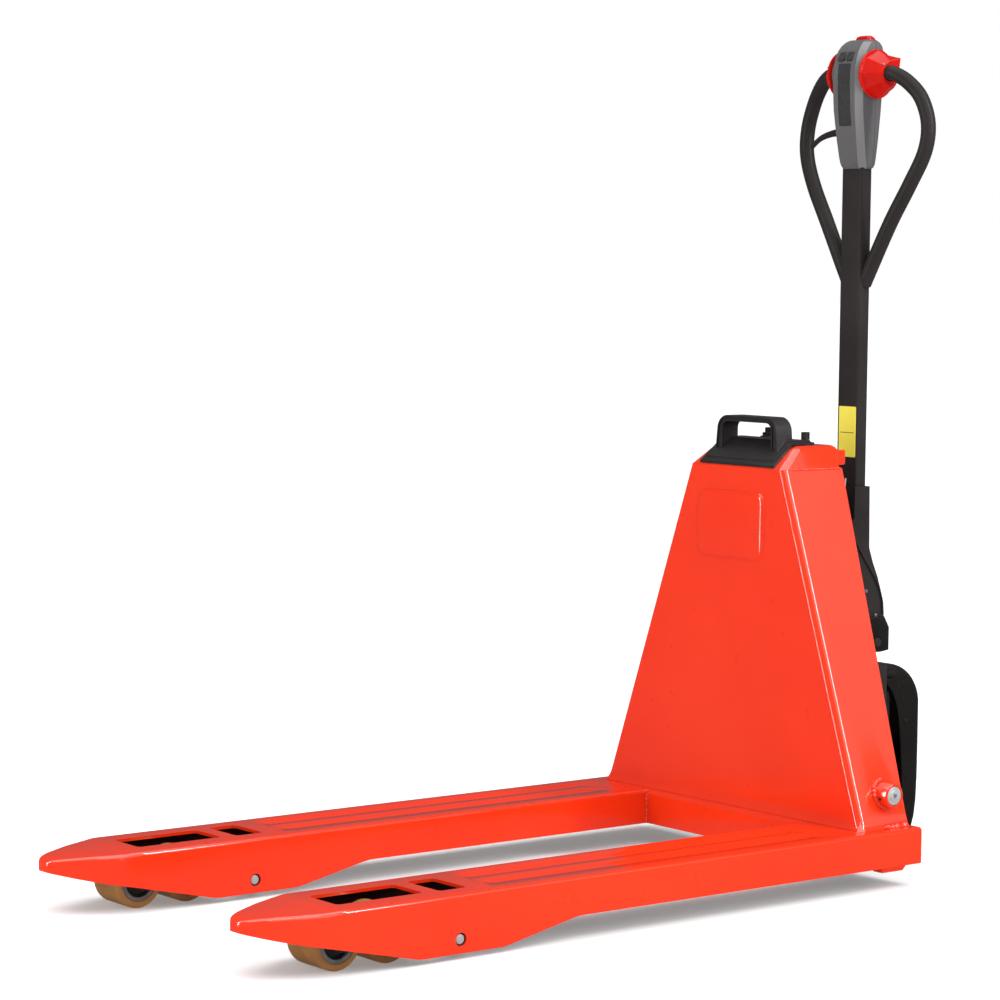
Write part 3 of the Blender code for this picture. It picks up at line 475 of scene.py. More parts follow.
BUSH_R = 0.01
NOSE_START = -1.15
NOSE_PLAN = (
    (TIP_Y, 0.0095), (TIP_Y + 0.002, 0.015), (TIP_Y + 0.005, 0.02), (TIP_Y + 0.01, 0.025),
    (-1.256, 0.035), (-1.21, 0.057), (-1.175, 0.07), (NOSE_START, FORK_HALF), (1, FORK_HALF),
)
NOSE_TOP = (
    (TIP_Y, 0.0846), (TIP_Y + 0.004, 0.0874), (TIP_Y + 0.01, 0.0888), (-1.256, 0.0906), (-1.21, 0.0932),
    (-1.172, 0.0946), (NOSE_START, FORK_TOP), (1, FORK_TOP),
)
SKIRT = (
    (TIP_Y, 0.069), (-1.243, 0.059), (-1.2035, 0.05), (NOSE_START, 0.04), (-1.0145, 0.009),
    (-0.8615, 0.009), (-0.7225, BEAM_BOTTOM), (1, BEAM_BOTTOM),
)


def softened(points, y, reach):
    """The line's value, averaged over a stretch either side so that its corners are rounded."""
    ease = min(reach, y - TIP_Y)
    samples = [between(points, y + ease * k / 4) for k in range(-4, 5)]
    return sum(samples) / len(samples)


def fork_section(centre, y, inset=0.0, floor=None, edge=0.0058):
    half = softened(NOSE_PLAN, y, 0.004) - inset
    top = softened(NOSE_TOP, y, 0.006) - inset
    low = softened(SKIRT, y, 0.003) if floor is None else floor
    radius = min(edge, half * 0.55, (top - low) * 0.5)
    outline = both_sides([(half, low)] + arc((half - radius, top - radius), radius, 0, 90, 6))
    return [(centre + x, y, z) for x, z in outline]


def groove(centre, start, end, half, depth):
    """A cutter for a shallow pressed groove along a fork's top."""
    rings = []
    ease = ((0, 0.05), (0.012, 0.75), (0.022, 1))
    levels = [(start + run, share) for run, share in ease]
    levels += [(end - run, share) for run, share in ease[::-1]]
    for y, share in levels:
        w = half * (0.5 + 0.5 * share)
        floor = FORK_TOP - depth * share
        outline = both_sides([(-w, FORK_TOP + 0.003), (-w, FORK_TOP + 0.0001), (-w * 0.5, floor)])
        rings.append([(centre + x, y, z) for x, z in outline])
    return loft(rings)


def make_fork(which, side):
    centre = side * FORK_X
    stations = [TIP_Y + 0.0025 * i for i in range(8)] + [TIP_Y + 0.025 + 0.008 * i for i in range(15)]
    stations += [NOSE_START + 0.012 * i for i in range(1, 37)] + [-0.55, -0.35, BEAM_FRONT, 0]
    stations = sorted(set(round(y, 5) for y in stations))
    outer = loft([fork_section(centre, y) for y in stations])
    hollow_stations = [y for y in stations if -1.236 < y < -0.02] + [-0.005]
    hollow = loft([fork_section(centre, y, 0.005, -0.02, 0.003) for y in hollow_stations])
    through = (0.07, 0.12)
    tools = [
        hollow,
        slab("z", (centre - 0.037, -1.133), (centre + 0.037, -0.981), through, 0.007),
        slab("z", (centre - 0.041, -0.955), (centre + 0.041, -0.905), through, 0.007),
        cylinder(BUSH_R, "x", centre - 0.09, centre + 0.09, ARM_PIVOT),
    ]
    tools += [groove(centre + x, -0.865, -0.2, 0.013, 0.003) for x in (-0.026, 0.026)]
    fork = combined(outer, tools)
    fork = finished(f"fork_{which}", fork, RED, "chassis", bevel=0.0012, sharp=38)
    fork.data.materials.append(CHANNEL_SHADE)
    # Faces inside the channel take the near-black red: painted shade for the channel's dark inside.
    for face in fork.data.polygons:
        x, y, z = face.center
        y -= SHIFT
        within = abs(x - centre) < softened(NOSE_PLAN, y, 0.004) - 0.003
        face.material_index = int(within and z < softened(NOSE_TOP, y, 0.006) - 0.003 and y > -1.24)
    skid = [(-0.085, 0.0291), (-0.037, 0.0291), (-0.03, 0.036), (-0.03, 0.046), (-0.085, 0.046)]
    skid = prism(skid, "x", *sorted((side * 0.315, side * 0.339)))
    piece(f"skid_plate_{which}", skid, RED, "chassis", bevel=0.003)
    for label, face, way in (("outer", FORK_OUTER, 1), ("inner", FORK_INNER, -1)):
        deep, near = (side * (face - way * inset) for inset in (0.0045, 0.003))
        ring = [(BUSH_R, deep), (BUSH_R, near), (0.0079, near), (0.0079, deep)]
        ring = turned(ring, "x", ARM_PIVOT, 40, bore=True)
        piece(f"pin_bush_{label}_{which}", ring, CAST, f"arm_{which}")


# Chassis


def make_beam():
    inner = FORK_INNER - 0.0003
    radius = 0.008
    section = [(BEAM_FRONT, BEAM_BOTTOM), (0, BEAM_BOTTOM), (0, FORK_TOP)]
    section += arc((BEAM_FRONT + radius, FORK_TOP - radius), radius, 90, 180, 6)
    solid = prism(section, "x", -inner, inner)
    inside = box((-inner + 0.005, inner - 0.005), (BEAM_FRONT + 0.005, -0.005), (0, FORK_TOP - 0.005))
    solid = combined(solid, [inside])
    finished("cross_beam", solid, RED, "chassis", bevel=0.0012, sharp=38)
    for name, side in SIDES:
        near, far = side * (inner - 0.001), side * (inner + 0.0087)
        filler = [(near, FORK_TOP - 0.01), (far, FORK_TOP - 0.004), (far, FORK_TOP), (near, FORK_TOP)]
        piece(f"beam_seam_{name}", prism(filler, "y", BEAM_FRONT + radius, 0), RED, "chassis")
        corner = side * (inner + 0.0002)
        path = [(corner, BEAM_FRONT - 0.0003, z) for z in (BEAM_BOTTOM + 0.001, 0.06, FORK_TOP - 0.006)]
        weld_bead(f"beam_weld_{name}", path, 0.0026, "chassis", 3 + side, (0, 1, 0))


NECK_HALF, BASE_HALF = spans("housing_side_plate_right")[0]
NECK_HALF += SHEET
HOUSING_LOW, HOUSING_HIGH = spans("housing_front_plate")[2]
BEND = 0.0115
BOSS_R = 0.0197


def housing_share(z):
    return (z - HOUSING_LOW) / (HOUSING_HIGH - HOUSING_LOW)


def housing_half(z):
    return BASE_HALF + (NECK_HALF - BASE_HALF) * housing_share(z)


def housing_front(z):
    return -0.114 + 0.005 * housing_share(z)


def housing_rear(z):
    return -0.008 + 0.0336 * housing_share(z)


def housing_ring(z, flare=0.0):
    """One bent sheet in plan: rear edge, side, round bend, front, and the same on the other side."""
    half = housing_half(z) + flare
    front = housing_front(z) - flare
    centre = (half - BEND, front + BEND)
    outer, inner = (
        both_sides([(half - inset, housing_rear(z))] + arc(centre, BEND - inset, 0, -90, 8))
        for inset in (0, SHEET)
    )
    return [(x, y, z) for x, y in outer + inner[::-1]]


def panel_ring(inset, depth, radius):
    low, high = (-0.093 + inset, 0.5125 + inset), (0.074 - inset, 0.627 - inset)
    outline = rounded_rectangle(low, high, radius, 8)
    return [(x, housing_front(z) - depth, z) for x, z in outline]


def make_housing():
    foot = ((0, 0.0045), (0.004, 0.0022), (0.01, 0.0006), (0.02, 0))
    rings = [housing_ring(HOUSING_LOW + rise, flare) for rise, flare in foot]
    shell = loft(rings + [housing_ring(HOUSING_HIGH)])
    shell = combined(shell, [cylinder(0.02, "x", low, low + 0.1, SHAFT) for low in (0.25, -0.35)])
    relief = [(0, -0.002, 0.02), (0, 0, 0.02), (0.002, 0.0018, 0.018)]
    relief += [(0.005, 0.0036, 0.016), (0.009, 0.0044, 0.013)]
    panel = loft([panel_ring(*level) for level in relief])
    shell = combined(shell, [panel], "UNION")
    plates = ("housing_front_plate", "housing_side_plate_left", "housing_side_plate_right")
    piece("housing_shell", shell, RED, "chassis", *plates, bevel=0.001, sharp=40)
    for name, side in SIDES:
        x = side * (BASE_HALF + 0.0035)
        bottom = [(x, y, FORK_TOP + 0.0012) for y in (-0.066, -0.035, -0.01)]
        weld_bead(f"housing_foot_weld_{name}", bottom, 0.006, "chassis", 11 + side)
        ring = []
        for i in range(37):
            angle = math.radians(75 + 6 * i)
            y, z = SHAFT[0] + 0.0218 * math.cos(angle), SHAFT[1] + 0.0218 * math.sin(angle)
            ring.append((side * (housing_half(z) + 0.0006), y, z))
        weld_bead(f"boss_weld_{name}", ring, 0.0042, "chassis", 21 + side, (1, 0, 0))
        high = [(side * (NECK_HALF + 0.0002), y, HOUSING_HIGH + 0.0002) for y in (-0.094, -0.05, 0.0, 0.024)]
        weld_bead(f"cap_weld_{name}", high, 0.0016, "chassis", 31 + side)
        boss = [(0.016, 0.285), (BOSS_R, 0.285), (BOSS_R, 0.3232)]
        boss += [(0.0192, 0.3244), (0.0184, 0.325), (0.016, 0.325)]
        boss = on_side(turned(boss, "x", SHAFT, 56, bore=True), side)
        finished(f"shaft_boss_{name}", boss, RED, "chassis")
        nipple = [(0.0024, 0), (0.0024, 0.0016), (0.0012, 0.0018), (0.001, 0.0006)]
        nipple = turned(nipple, "z", (0, 0), 16)
        y, z = SHAFT[0] - BOSS_R * math.cos(0.25), SHAFT[1] - BOSS_R * math.sin(0.25)
        turn = Matrix.Translation((side * 0.312, y, z)) @ Matrix.Rotation(math.radians(104), 4, "X")
        nipple.transform(turn)
        piece(f"grease_hole_{name}", nipple, MOULDED, "chassis", slot="red_paint")
        screw = [(0.0152, 0.3194), (0.0152, 0.324), (0.0147, 0.3248), (0.014, 0.3251)]
        screw += [(0.0098, 0.3253), (0.0092, 0.3264), (0.0046, 0.3264)]
        screw = combined(turned(screw, "x", SHAFT, 48), [cylinder(0.0046, "x", 0.322, 0.34, SHAFT, 6)])
        screw = on_side(screw, side)
        finished(f"shaft_screw_{name}", screw, ZINC, "rocker", bevel=0.0003)


CAP_LOW, CAP_HIGH = spans("housing_cap")[2]
CAP_HALF_LOW = spans("housing_cap")[0][1]
CAP_HALF_HIGH = 0.1
SLOPE_FOOT = (-0.109, CAP_LOW)
SLOPE_HEAD = (-0.0615, CAP_HIGH)
CAP_REAR = (0.0256, 0.033)


def slope_z(y, lift=0.0):
    """Height of the cap's sloping front and flat top, with a rise above both."""
    share = (y - SLOPE_FOOT[0]) / (SLOPE_HEAD[0] - SLOPE_FOOT[0])
    return min(CAP_LOW + (CAP_HIGH - CAP_LOW) * share, CAP_HIGH) + lift


def cap_ring(inset, z, half, front, rear):
    half, front, rear = half - inset, front + inset, rear - inset
    return [(-half, front, z), (half, front, z), (half, rear, z), (-half, rear, z)]


def make_cap():
    low = HOUSING_HIGH + 0.0002
    outer = loft([
        cap_ring(0, low, CAP_HALF_LOW, SLOPE_FOOT[0], CAP_REAR[0]),
        cap_ring(0, CAP_HIGH, CAP_HALF_HIGH, SLOPE_HEAD[0], CAP_REAR[1]),
    ])
    upper = [e for e in outer.edges if max(v.co.z for v in e.verts) > CAP_HIGH - 0.001]
    bmesh.ops.bevel(
        outer, geom=upper, offset=0.011, segments=6, profile=0.5, affect="EDGES", clamp_overlap=True,
    )
    inner = loft([
        cap_ring(SHEET, low - 0.004, CAP_HALF_LOW, SLOPE_FOOT[0] - 0.002, CAP_REAR[0]),
        cap_ring(SHEET, CAP_HIGH - SHEET, CAP_HALF_HIGH, SLOPE_HEAD[0] - 0.001, CAP_REAR[1]),
    ])
    clear = 0.003
    bay = [(low - clear, high + clear) for low, high in spans("battery_case")[:2]]
    cap = combined(outer, [inner, box(*bay, (0.6, 0.8))])
    finished("housing_cap", cap, RED, "chassis", bevel=0.001, sharp=40)
    bracket = slab("z", (-0.06, 0.0335), (0.06, 0.094), spans("thrust_bracket")[2], 0.012)
    finished("thrust_bracket", bracket, RED, "chassis", bevel=0.004, segments=4)


# Battery, key and plug


def lid_profile(front, rear, low, high):
    """A strip that follows the cap's slope and flat top, as a side outline from one lift to another."""
    under = [(front, slope_z(front, low)), (SLOPE_HEAD[0], CAP_HIGH + low), (rear, CAP_HIGH + low)]
    over = [(rear, CAP_HIGH + high), (SLOPE_HEAD[0] - 0.002, CAP_HIGH + high), (front, slope_z(front, high))]
    return under + over


def arch(foot, shoulder, low, top, radius, steps=8):
    return both_sides([(foot, low)] + arc((shoulder - radius, top - radius), radius, 12, 90, steps))


def make_battery():
    refined("battery_case", MOULDED, "battery")
    plate = prism(lid_profile(-0.1075, -0.0125, 0.0007, 0.0052), "x", -0.0915, 0.0915)
    for v in plate.verts:
        if v.co.y > -0.07:
            v.co.x *= 0.955
    plinth = prism(lid_profile(-0.1015, -0.018, 0.004, 0.0085), "x", -0.0835, 0.0835)
    lid = combined(plate, [plinth], "UNION")
    front, rear = -0.0865, -0.0505
    low = CAP_HIGH - 0.016
    handle = prism(arch(0.0765, 0.073, low, 0.752, 0.025), "y", front, rear)
    opening = [(0.0605, low - 0.01), (0.06, 0.73)] + arc((0.048, 0.73), 0.012, 10, 90, 6)
    handle = combined(handle, [prism(both_sides(opening), "y", -0.12, 0)])
    recess = prism(arch(0.0738, 0.0703, low - 0.002, 0.7493, 0.0225), "y", -0.1, front + 0.0022)
    lip = [(0.0632, low - 0.02), (0.0627, 0.73)] + arc((0.048, 0.73), 0.0147, 10, 90, 6)
    handle = combined(handle, [combined(recess, [prism(both_sides(lip), "y", -0.11, 0)])])
    lid = combined(lid, [handle], "UNION")
    top = CAP_HIGH + 0.0006
    under = [(-0.12, 0.6), (0, 0.6), (0, top), (SLOPE_HEAD[0], top), (-0.12, slope_z(-0.12, 0.0006))]
    lid = combined(lid, [prism(under, "x", -0.2, 0.2)])
    finished("battery_lid", lid, LID, "battery", bevel=0.0011, sharp=30)


KEY = (JOINTS["key_turn"]["pos_m"][0], JOINTS["key_turn"]["pos_m"][1] - SHIFT)


def make_top_fittings():
    ring = [(0.0074, 0), (0.0118, 0), (0.0118, 0.0014), (0.0104, 0.003), (0.0074, 0.003)]
    ring = turned([(r, CAP_HIGH + z) for r, z in ring], "z", KEY, 40, bore=True)
    piece("key_ring", ring, CHROME, "chassis")
    stem = [(0.0062, 0.0005), (0.0062, 0.0072), (0.005, 0.008)]
    stem = turned([(r, CAP_HIGH + z) for r, z in stem], "z", KEY, 32)
    x, y = KEY
    corners = (x - 0.006, y - 0.0058), (x + 0.006, y + 0.0058)
    grip = slab("z", *corners, (CAP_HIGH + 0.0065, 0.7248), 0.0026, 4)
    notches = [cylinder(0.0016, "z", CAP_HIGH + 0.01, 0.74, (x + dx, y), 12) for dx in (0.0064, -0.0064)]
    knob = combined(combined(stem, [grip], "UNION"), notches)
    finished("key_knob", knob, MOULDED, "key", bevel=0.0008)
    (x0, x1), (y0, y1), (low, high) = spans("charging_plug")
    plug = slab("z", (x0, y0), (x1, y1), (low, 0.7145), 0.004, 4)
    middle = slab("z", (x0 + 0.003, y0 + 0.003), (x1 - 0.003, y1 - 0.004), (0.712, 0.7205), 0.003, 4)
    top = slab("z", (x0 + 0.006, y0 + 0.006), (x1 - 0.012, y1 - 0.006), (0.719, high), 0.003, 4)
    plug = combined(plug, [middle, top], "UNION")
    finished("charging_plug", plug, MOULDED, "chassis", bevel=0.0008)


# Load wheels and linkage


def about_axle(half_profile, centre, axle, steps, bore=True):
    """A turned part from half its profile: (radius, place) points, with places from the part's middle."""
    profile = [(r, centre + x) for r, x in both_sides(half_profile, 1)]
    return turned(profile, "x", axle, steps, bore)


def make_load_wheels():
    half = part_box("load_roller_front_right")[1][0] - FORK_X
    crown = arc((ROLLER_R - 0.005, half - 0.005), 0.005, 0, 90, 6)
    tread = crown + [(0.0315, half), (0.0305, half - 0.0015)]
    rim = [(0.0303, half - 0.001), (0.029, half - 0.0006), (0.0245, half - 0.001), (0.024, half - 0.004)]
    bearing = [(0.0238, half - 0.0045), (0.0215, half - 0.0042), (0.0205, half - 0.0062)]
    bearing += [(0.0135, half - 0.0062), (0.0125, half - 0.0042), (0.0074, half - 0.0042)]
    pin = [(0.0058, -0.0742), (0.0068, -0.0738), (0.0075, -0.0728)]
    for name, side in SIDES:
        x = side * FORK_X
        for label, axle in ROLLERS.items():
            body = f"roller_{label}_{name}"
            node = f"load_{body}"
            piece(f"{node}_tread", about_axle(tread, x, axle, 64), AMBER, body, node)
            piece(f"roller_rim_{label}_{name}", about_axle(rim, x, axle, 48), DULL_STEEL, body)
            piece(f"roller_bearing_{label}_{name}", about_axle(bearing, x, axle, 40), CAST, body)
            refined(f"axle_{label}_{name}", STEEL, f"bogie_frame_{name}", 0.0004)
        refined(f"bogie_{name}", BLACK, f"bogie_frame_{name}")
        refined(f"wheel_arm_{name}", BLACK, f"arm_{name}")
        finished(f"arm_pin_{name}", about_axle(pin, x, ARM_PIVOT, 40, False), ZINC, f"arm_{name}")
        refined(f"push_rod_{name}", ROD_STEEL, f"rod_{name}")
    refined("rocker_shaft", ROD_STEEL, "rocker")


# Carriage and drive unit


def make_carriage():
    refined("carriage_frame", BLACK, "carriage", 0.0012)
    refined("hydraulic_tank", BLACK, "carriage", 0.002)
    refined("pump_motor", CAST, "carriage", 0.0012)
    refined("lift_cylinder", BLACK, "carriage", 0.001)
    refined("lift_ram", CHROME, "chassis")


GUARD_HALF = spans("drive_guard")[0][1]
GUARD_WALL = 0.003
GUARD_ROUND = 0.02
GUARD_LIP = [
    (0.222, 0.0305), (0.2205, 0.08), (0.219, 0.13), (0.215, 0.18), (0.212, 0.205), (0.208, 0.232),
    (0.202, 0.254), (0.192, 0.274), (0.178, 0.29), (0.16, 0.301), (0.14, 0.306), (0.12, 0.307),
]


def guard_rear(inset):
    """The guard's rear curve in side view, from its front top edge round to its foot."""
    top = 0.3203 - inset
    rear = spans("drive_guard")[1][1] - inset
    foot = ((0, 0.18), (0.0004, 0.12), (0.002, 0.08), (0.006, 0.052), (0.013, 0.0305))
    points = [(0.12, top - 0.003), (0.155, top)] + arc((0.195, 0.248), 0.0728 - inset, 88, 4, 14)
    return points + [(rear - y, z) for y, z in foot]


def guard_inside(inset):
    """The outline of the guard's hollow, open to the front and the floor."""
    points = guard_rear(GUARD_WALL + inset)
    return [(0.1, points[0][1])] + points[1:-1] + [(points[-1][0], 0.01), (0.1, 0.01)]


def guard_sections(radius):
    """Places across the guard, each with how far its rounded sides draw in there."""
    turns = [math.radians(90 - 15 * i) for i in range(7)]
    centre = GUARD_HALF - GUARD_ROUND
    return both_sides([(-centre - radius * math.sin(a), radius * (1 - math.cos(a))) for a in turns])


def make_guard():
    outside = [(x, guard_rear(inset) + GUARD_LIP) for x, inset in guard_sections(GUARD_ROUND)]
    inside = [(x, guard_inside(inset)) for x, inset in guard_sections(GUARD_ROUND - GUARD_WALL)]
    guard, hole = (
        loft([[(x, y, z) for y, z in outline] for x, outline in part]) for part in (outside, inside)
    )
    guard = combined(guard, [hole, box((-0.046, 0.046), (0.09, 0.192), (0.29, 0.34))])
    finished("drive_guard", guard, GUARD, "steer_unit", bevel=0.0009, sharp=35)
    for name, side in SIDES:
        place = (side * (GUARD_HALF - 0.0003), (0.2265, 0.22))
        socket_screw(f"guard_screw_{name}", 0.0042, 0.0022, place, "steer_unit", side, CAST)


def make_drive_unit():
    refined("drive_bracket", CAST, "steer_unit", 0.006)
    refined("drive_motor", CAST, "steer_unit", 0.0015)
    refined("drive_axle", STEEL, "steer_unit", 0.0006)
    refined("steer_turret", GUARD, "steer_unit", 0.0012)
    radius = WHEEL[1]
    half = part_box("drive_tyre")[1][0]
    tyre = arc((radius - 0.006, half - 0.006), 0.006, 0, 90, 5) + [(0.0802, half)]
    finished("drive_tyre", about_axle(tyre, 0, WHEEL, 96), RUBBER, "drive_wheel")
    rim = [
        (0.08, -0.033), (0.08, 0.033), (0.074, 0.0335), (0.07, 0.031), (0.066, 0.019),
        (0.064, 0.018), (0.032, 0.018), (0.03, 0.02), (0.028, 0.0235), (0.0123, 0.0235),
        (0.0123, -0.018), (0.064, -0.018), (0.066, -0.019), (0.07, -0.031), (0.074, -0.0335),
    ]
    holes = [cylinder(0.0085, "x", -0.03, 0.03, place, 24) for place in arc(WHEEL, 0.048, 18, 306, 4)]
    hub = combined(turned(rim, "x", WHEEL, 72, bore=True), holes)
    finished("drive_hub", hub, CAST, "drive_wheel", bevel=0.0008)


# Tiller


# The tiller's foot in side view: its rear outline, and the front edge of the ribs on its sides
FOOT_REAR = [
    (0.2177, 0.403), (0.2158, 0.424), (0.2102, 0.441), (0.2007, 0.468), (0.1885, 0.494), (0.179, 0.52),
]
RIB_FRONT = [
    (0.146, 0.533), (0.16, 0.514), (0.1737, 0.495), (0.1946, 0.468), (0.2071, 0.447), (0.2135, 0.427),
    (0.215, 0.403),
]
BASE_INNER = 0.0253
RIB_ROOT = 0.0262
BASE_OUTER = 0.03


def make_tiller_base():
    cheek = [(0.177, 0.6268), (0.1415, 0.6268), (0.1415, 0.572), (0.123, 0.548), (0.123, 0.502)]
    cheek += [(0.152, 0.4), (0.178, 0.348)] + arc(TILT, 0.0159, 205, 335, 10)
    cheek += [(0.215, 0.372)] + FOOT_REAR
    inner = [(0.11, 0.42), (0.206, 0.42), (0.204, 0.441), (0.1945, 0.467), (0.1825, 0.493)]
    inner += [(0.1745, 0.518), (0.174, 0.7), (0.144, 0.7), (0.11, 0.56)]
    base = combined(prism(cheek, "x", -BASE_OUTER, BASE_OUTER), [
        box((-BASE_INNER, BASE_INNER), (0.1, 0.24), (0.3, 0.43)),
        prism(inner, "x", -BASE_INNER, BASE_INNER),
        cylinder(0.0083, "x", -0.05, 0.05, TILT),
    ])
    step = [(0.1, RIB_FRONT[0][1])] + RIB_FRONT + [(0.1, RIB_FRONT[-1][1])]
    base = combined(base, [prism(step, "x", *x) for x in ((RIB_ROOT, 0.05), (-0.05, -RIB_ROOT))])
    finished("tiller_base", base, BLACK, "tiller", bevel=0.0012, sharp=28)
    refined("tiller_pin", BLACK, "tiller", 0.0006)
    # A thin strip in the lighter black along each rib's front edge: a painted highlight on the rounded edge.
    band = RIB_FRONT + [(y - 0.0004, z - 0.0003) for y, z in RIB_FRONT[::-1]]
    bolts = (((0.1763, 0.4446), RIB_ROOT), ((0.1965, 0.4018), BASE_OUTER), ((0.2081, 0.3462), BASE_OUTER))
    for name, side in SIDES:
        rib = prism(band, "x", *sorted((side * 0.0196, side * 0.0301)))
        piece(f"tiller_rib_highlight_{name}", rib, BLACK_EDGE_HIGHLIGHT, "tiller", sharp=60)
        for i, (place, stand) in enumerate(bolts, 1):
            bolt = f"tiller_bolt_{i}_{name}"
            socket_screw(bolt, 0.0032, 0.0024, (side * stand, place), "tiller", side, DULL_STEEL)


(MAST_LEFT, MAST_RIGHT), (MAST_FRONT, MAST_REAR), MAST_Z = spans("mast_tube")


def mast_slab(grow, rear, z, radius, steps=6):
    """A block with the mast's plan, its front and sides grown by one measure and its rear by another."""
    low, high = (MAST_LEFT - grow, MAST_FRONT - grow), (MAST_RIGHT + grow, MAST_REAR + rear)
    return slab("z", low, high, z, radius, steps)


def make_mast():
    bore = mast_slab(-0.003, -0.003, (MAST_Z[0] - 0.01, MAST_Z[1] + 0.01), 0.0018, 4)
    mast = combined(mast_slab(0, 0, MAST_Z, 0.0042), [bore])
    finished("mast_tube", mast, BLACK, "tiller", bevel=0.0004)
    label = (MAST_FRONT - 0.0004, MAST_FRONT + 0.0002)
    label = slab("y", (-0.019, 0.677), (0.0215, 0.764), label, 0.0016, 4)
    piece("label_patch", label, YELLOW, "tiller")
    line = (MAST_FRONT - 0.0005, MAST_FRONT - 0.0002)
    line = slab("y", (-0.015, 0.7185), (0.0175, 0.7196), line, 0.0005, 2)
    piece("label_rule", line, STRIP, "tiller", slot="")
    hole = mast_slab(0.0001, 0.003, (0.59, 0.64), 0.0042)
    collar = combined(mast_slab(0.0022, 0.0006, (0.6, 0.6266), 0.004), [hole])
    piece("mast_collar", collar, BLACK, "tiller", bevel=0.0006)


# Right half of the teardrop loop: from its foot on the mast, round, to the bar through the head
HANDLE = [
    (0.018, 0.165, 0.975), (0.036, 0.1652, 1.007), (0.0771, 0.1668, 1.08), (0.117, 0.1712, 1.145),
    (0.1425, 0.1782, 1.198), (0.1455, 0.1824, 1.245), (0.129, 0.1812, 1.289), (0.103, 0.1735, 1.3175),
    (0.078, THROTTLE[0] + 0.001, THROTTLE[1] - 0.0005), (0.066, *THROTTLE), (0.03, *THROTTLE),
]
HANDLE_R = 0.0127


def make_loop_handle():
    loop = swept(both_sides(smooth_path(HANDLE, 6)), HANDLE_R, 28)
    half = MAST_RIGHT + 0.0003
    loop = combined(loop, [box((-half, half), (0.14, 0.19), (0.94, 1.04))])
    finished("loop_handle", loop, BLACK, "tiller", bevel=0.0005, segments=2, sharp=50)


# The head's levels: height, front, rear and half width
HEAD = (
    (1.1715, 0.1468, 0.174, 0.0263), (1.1745, 0.1438, 0.177, 0.029), (1.18, 0.1413, 0.1788, 0.0303),
    (1.19, 0.1388, 0.18, 0.0311), (1.22, 0.1338, 0.1826, 0.0327), (1.27, 0.127, 0.186, 0.0345),
    (1.31, 0.1248, 0.188, 0.0353), (1.33, 0.1246, 0.189, 0.0355), (1.345, 0.1258, 0.1896, 0.0355),
    (1.361, 0.1296, 0.19, 0.0351), (1.3717, 0.1346, 0.1896, 0.0343), (1.3803, 0.1408, 0.188, 0.033),
    (1.3867, 0.1483, 0.1845, 0.0305), (1.3904, 0.1558, 0.179, 0.0265), (1.3915, 0.1618, 0.173, 0.0215),
)
PARTING = 0.168


def head_ring(level, inset=0.0):
    z, front, rear, half = level
    front, rear, half = front + inset, rear - inset, half - inset
    band = min(0.009, half * 0.4, (rear - front) * 0.3)
    back = min(0.01, half * 0.5, (rear - front) * 0.3)
    right = [(half - band, front), (half, front + band * 1.25)]
    right += arc((half - back, rear - back), back, 0, 90, 6)
    return [(x, y, z) for x, y in both_sides(right)]


def make_head():
    wall = 0.0028
    hollow = [head_ring(level, wall) for level in HEAD[:-3]]
    hollow[0] = [(x, y, 1.16) for x, y, z in hollow[0]]
    for name, cut in (("front", (PARTING - 0.0003, 0.3)), ("rear", (0.05, PARTING + 0.0003))):
        tools = [
            loft(hollow),
            box((-0.06, 0.06), cut, (1.1, 1.45)),
            cylinder(0.035, "x", -0.06, 0.06, THROTTLE, 48),
            box((-0.045, -0.02), (0.1545, 0.1715), (1.2195, 1.2455)),
        ]
        if name == "front":
            tools.append(slab("y", (-0.0148, 1.244), (0.0148, 1.349), (0.11, 0.15), 0.0022, 4))
            for x in (-0.0095, 0.0095):
                tools.append(slab("y", (x - 0.0073, 1.3538), (x + 0.0073, 1.3692), (0.11, 0.16), 0.0018, 4))
        else:
            tools.append(slab("z", (-0.0182, 0.1645), (0.0182, 0.1865), (1.365, 1.41), 0.0062))
        shell = combined(loft([head_ring(level) for level in HEAD]), tools)
        shell = finished(f"head_{name}_shell", shell, GREY, "tiller", bevel=0.0009, sharp=22)
        # Faces that look forward and sideways take the lighter grey: a painted highlight.
        shell.data.materials.append(GREY_SHEEN_BAND)
        for face in shell.data.polygons:
            face.material_index = int(abs(face.normal.x) > 0.4 and face.normal.y < -0.35)
    cup = [(0.0348, 0.03), (0.0348, 0.0352), (0.033, 0.0358), (0.0136, 0.0358), (0.0136, 0.03)]
    for name, side in SIDES:
        seat = on_side(turned(cup, "x", THROTTLE, 48, bore=True), side)
        piece(f"throttle_seat_{name}", seat, GREY, "tiller")
    display = [(0.1256, 1.3487), (0.1252, 1.33), (0.1258, 1.31), (0.1278, 1.27), (0.1314, 1.2443)]
    display = prism(display + [(y + 0.004, z) for y, z in display[::-1]], "x", -0.0145, 0.0145)
    finished("head_display", display, STRIP, "tiller", bevel=0.0003)


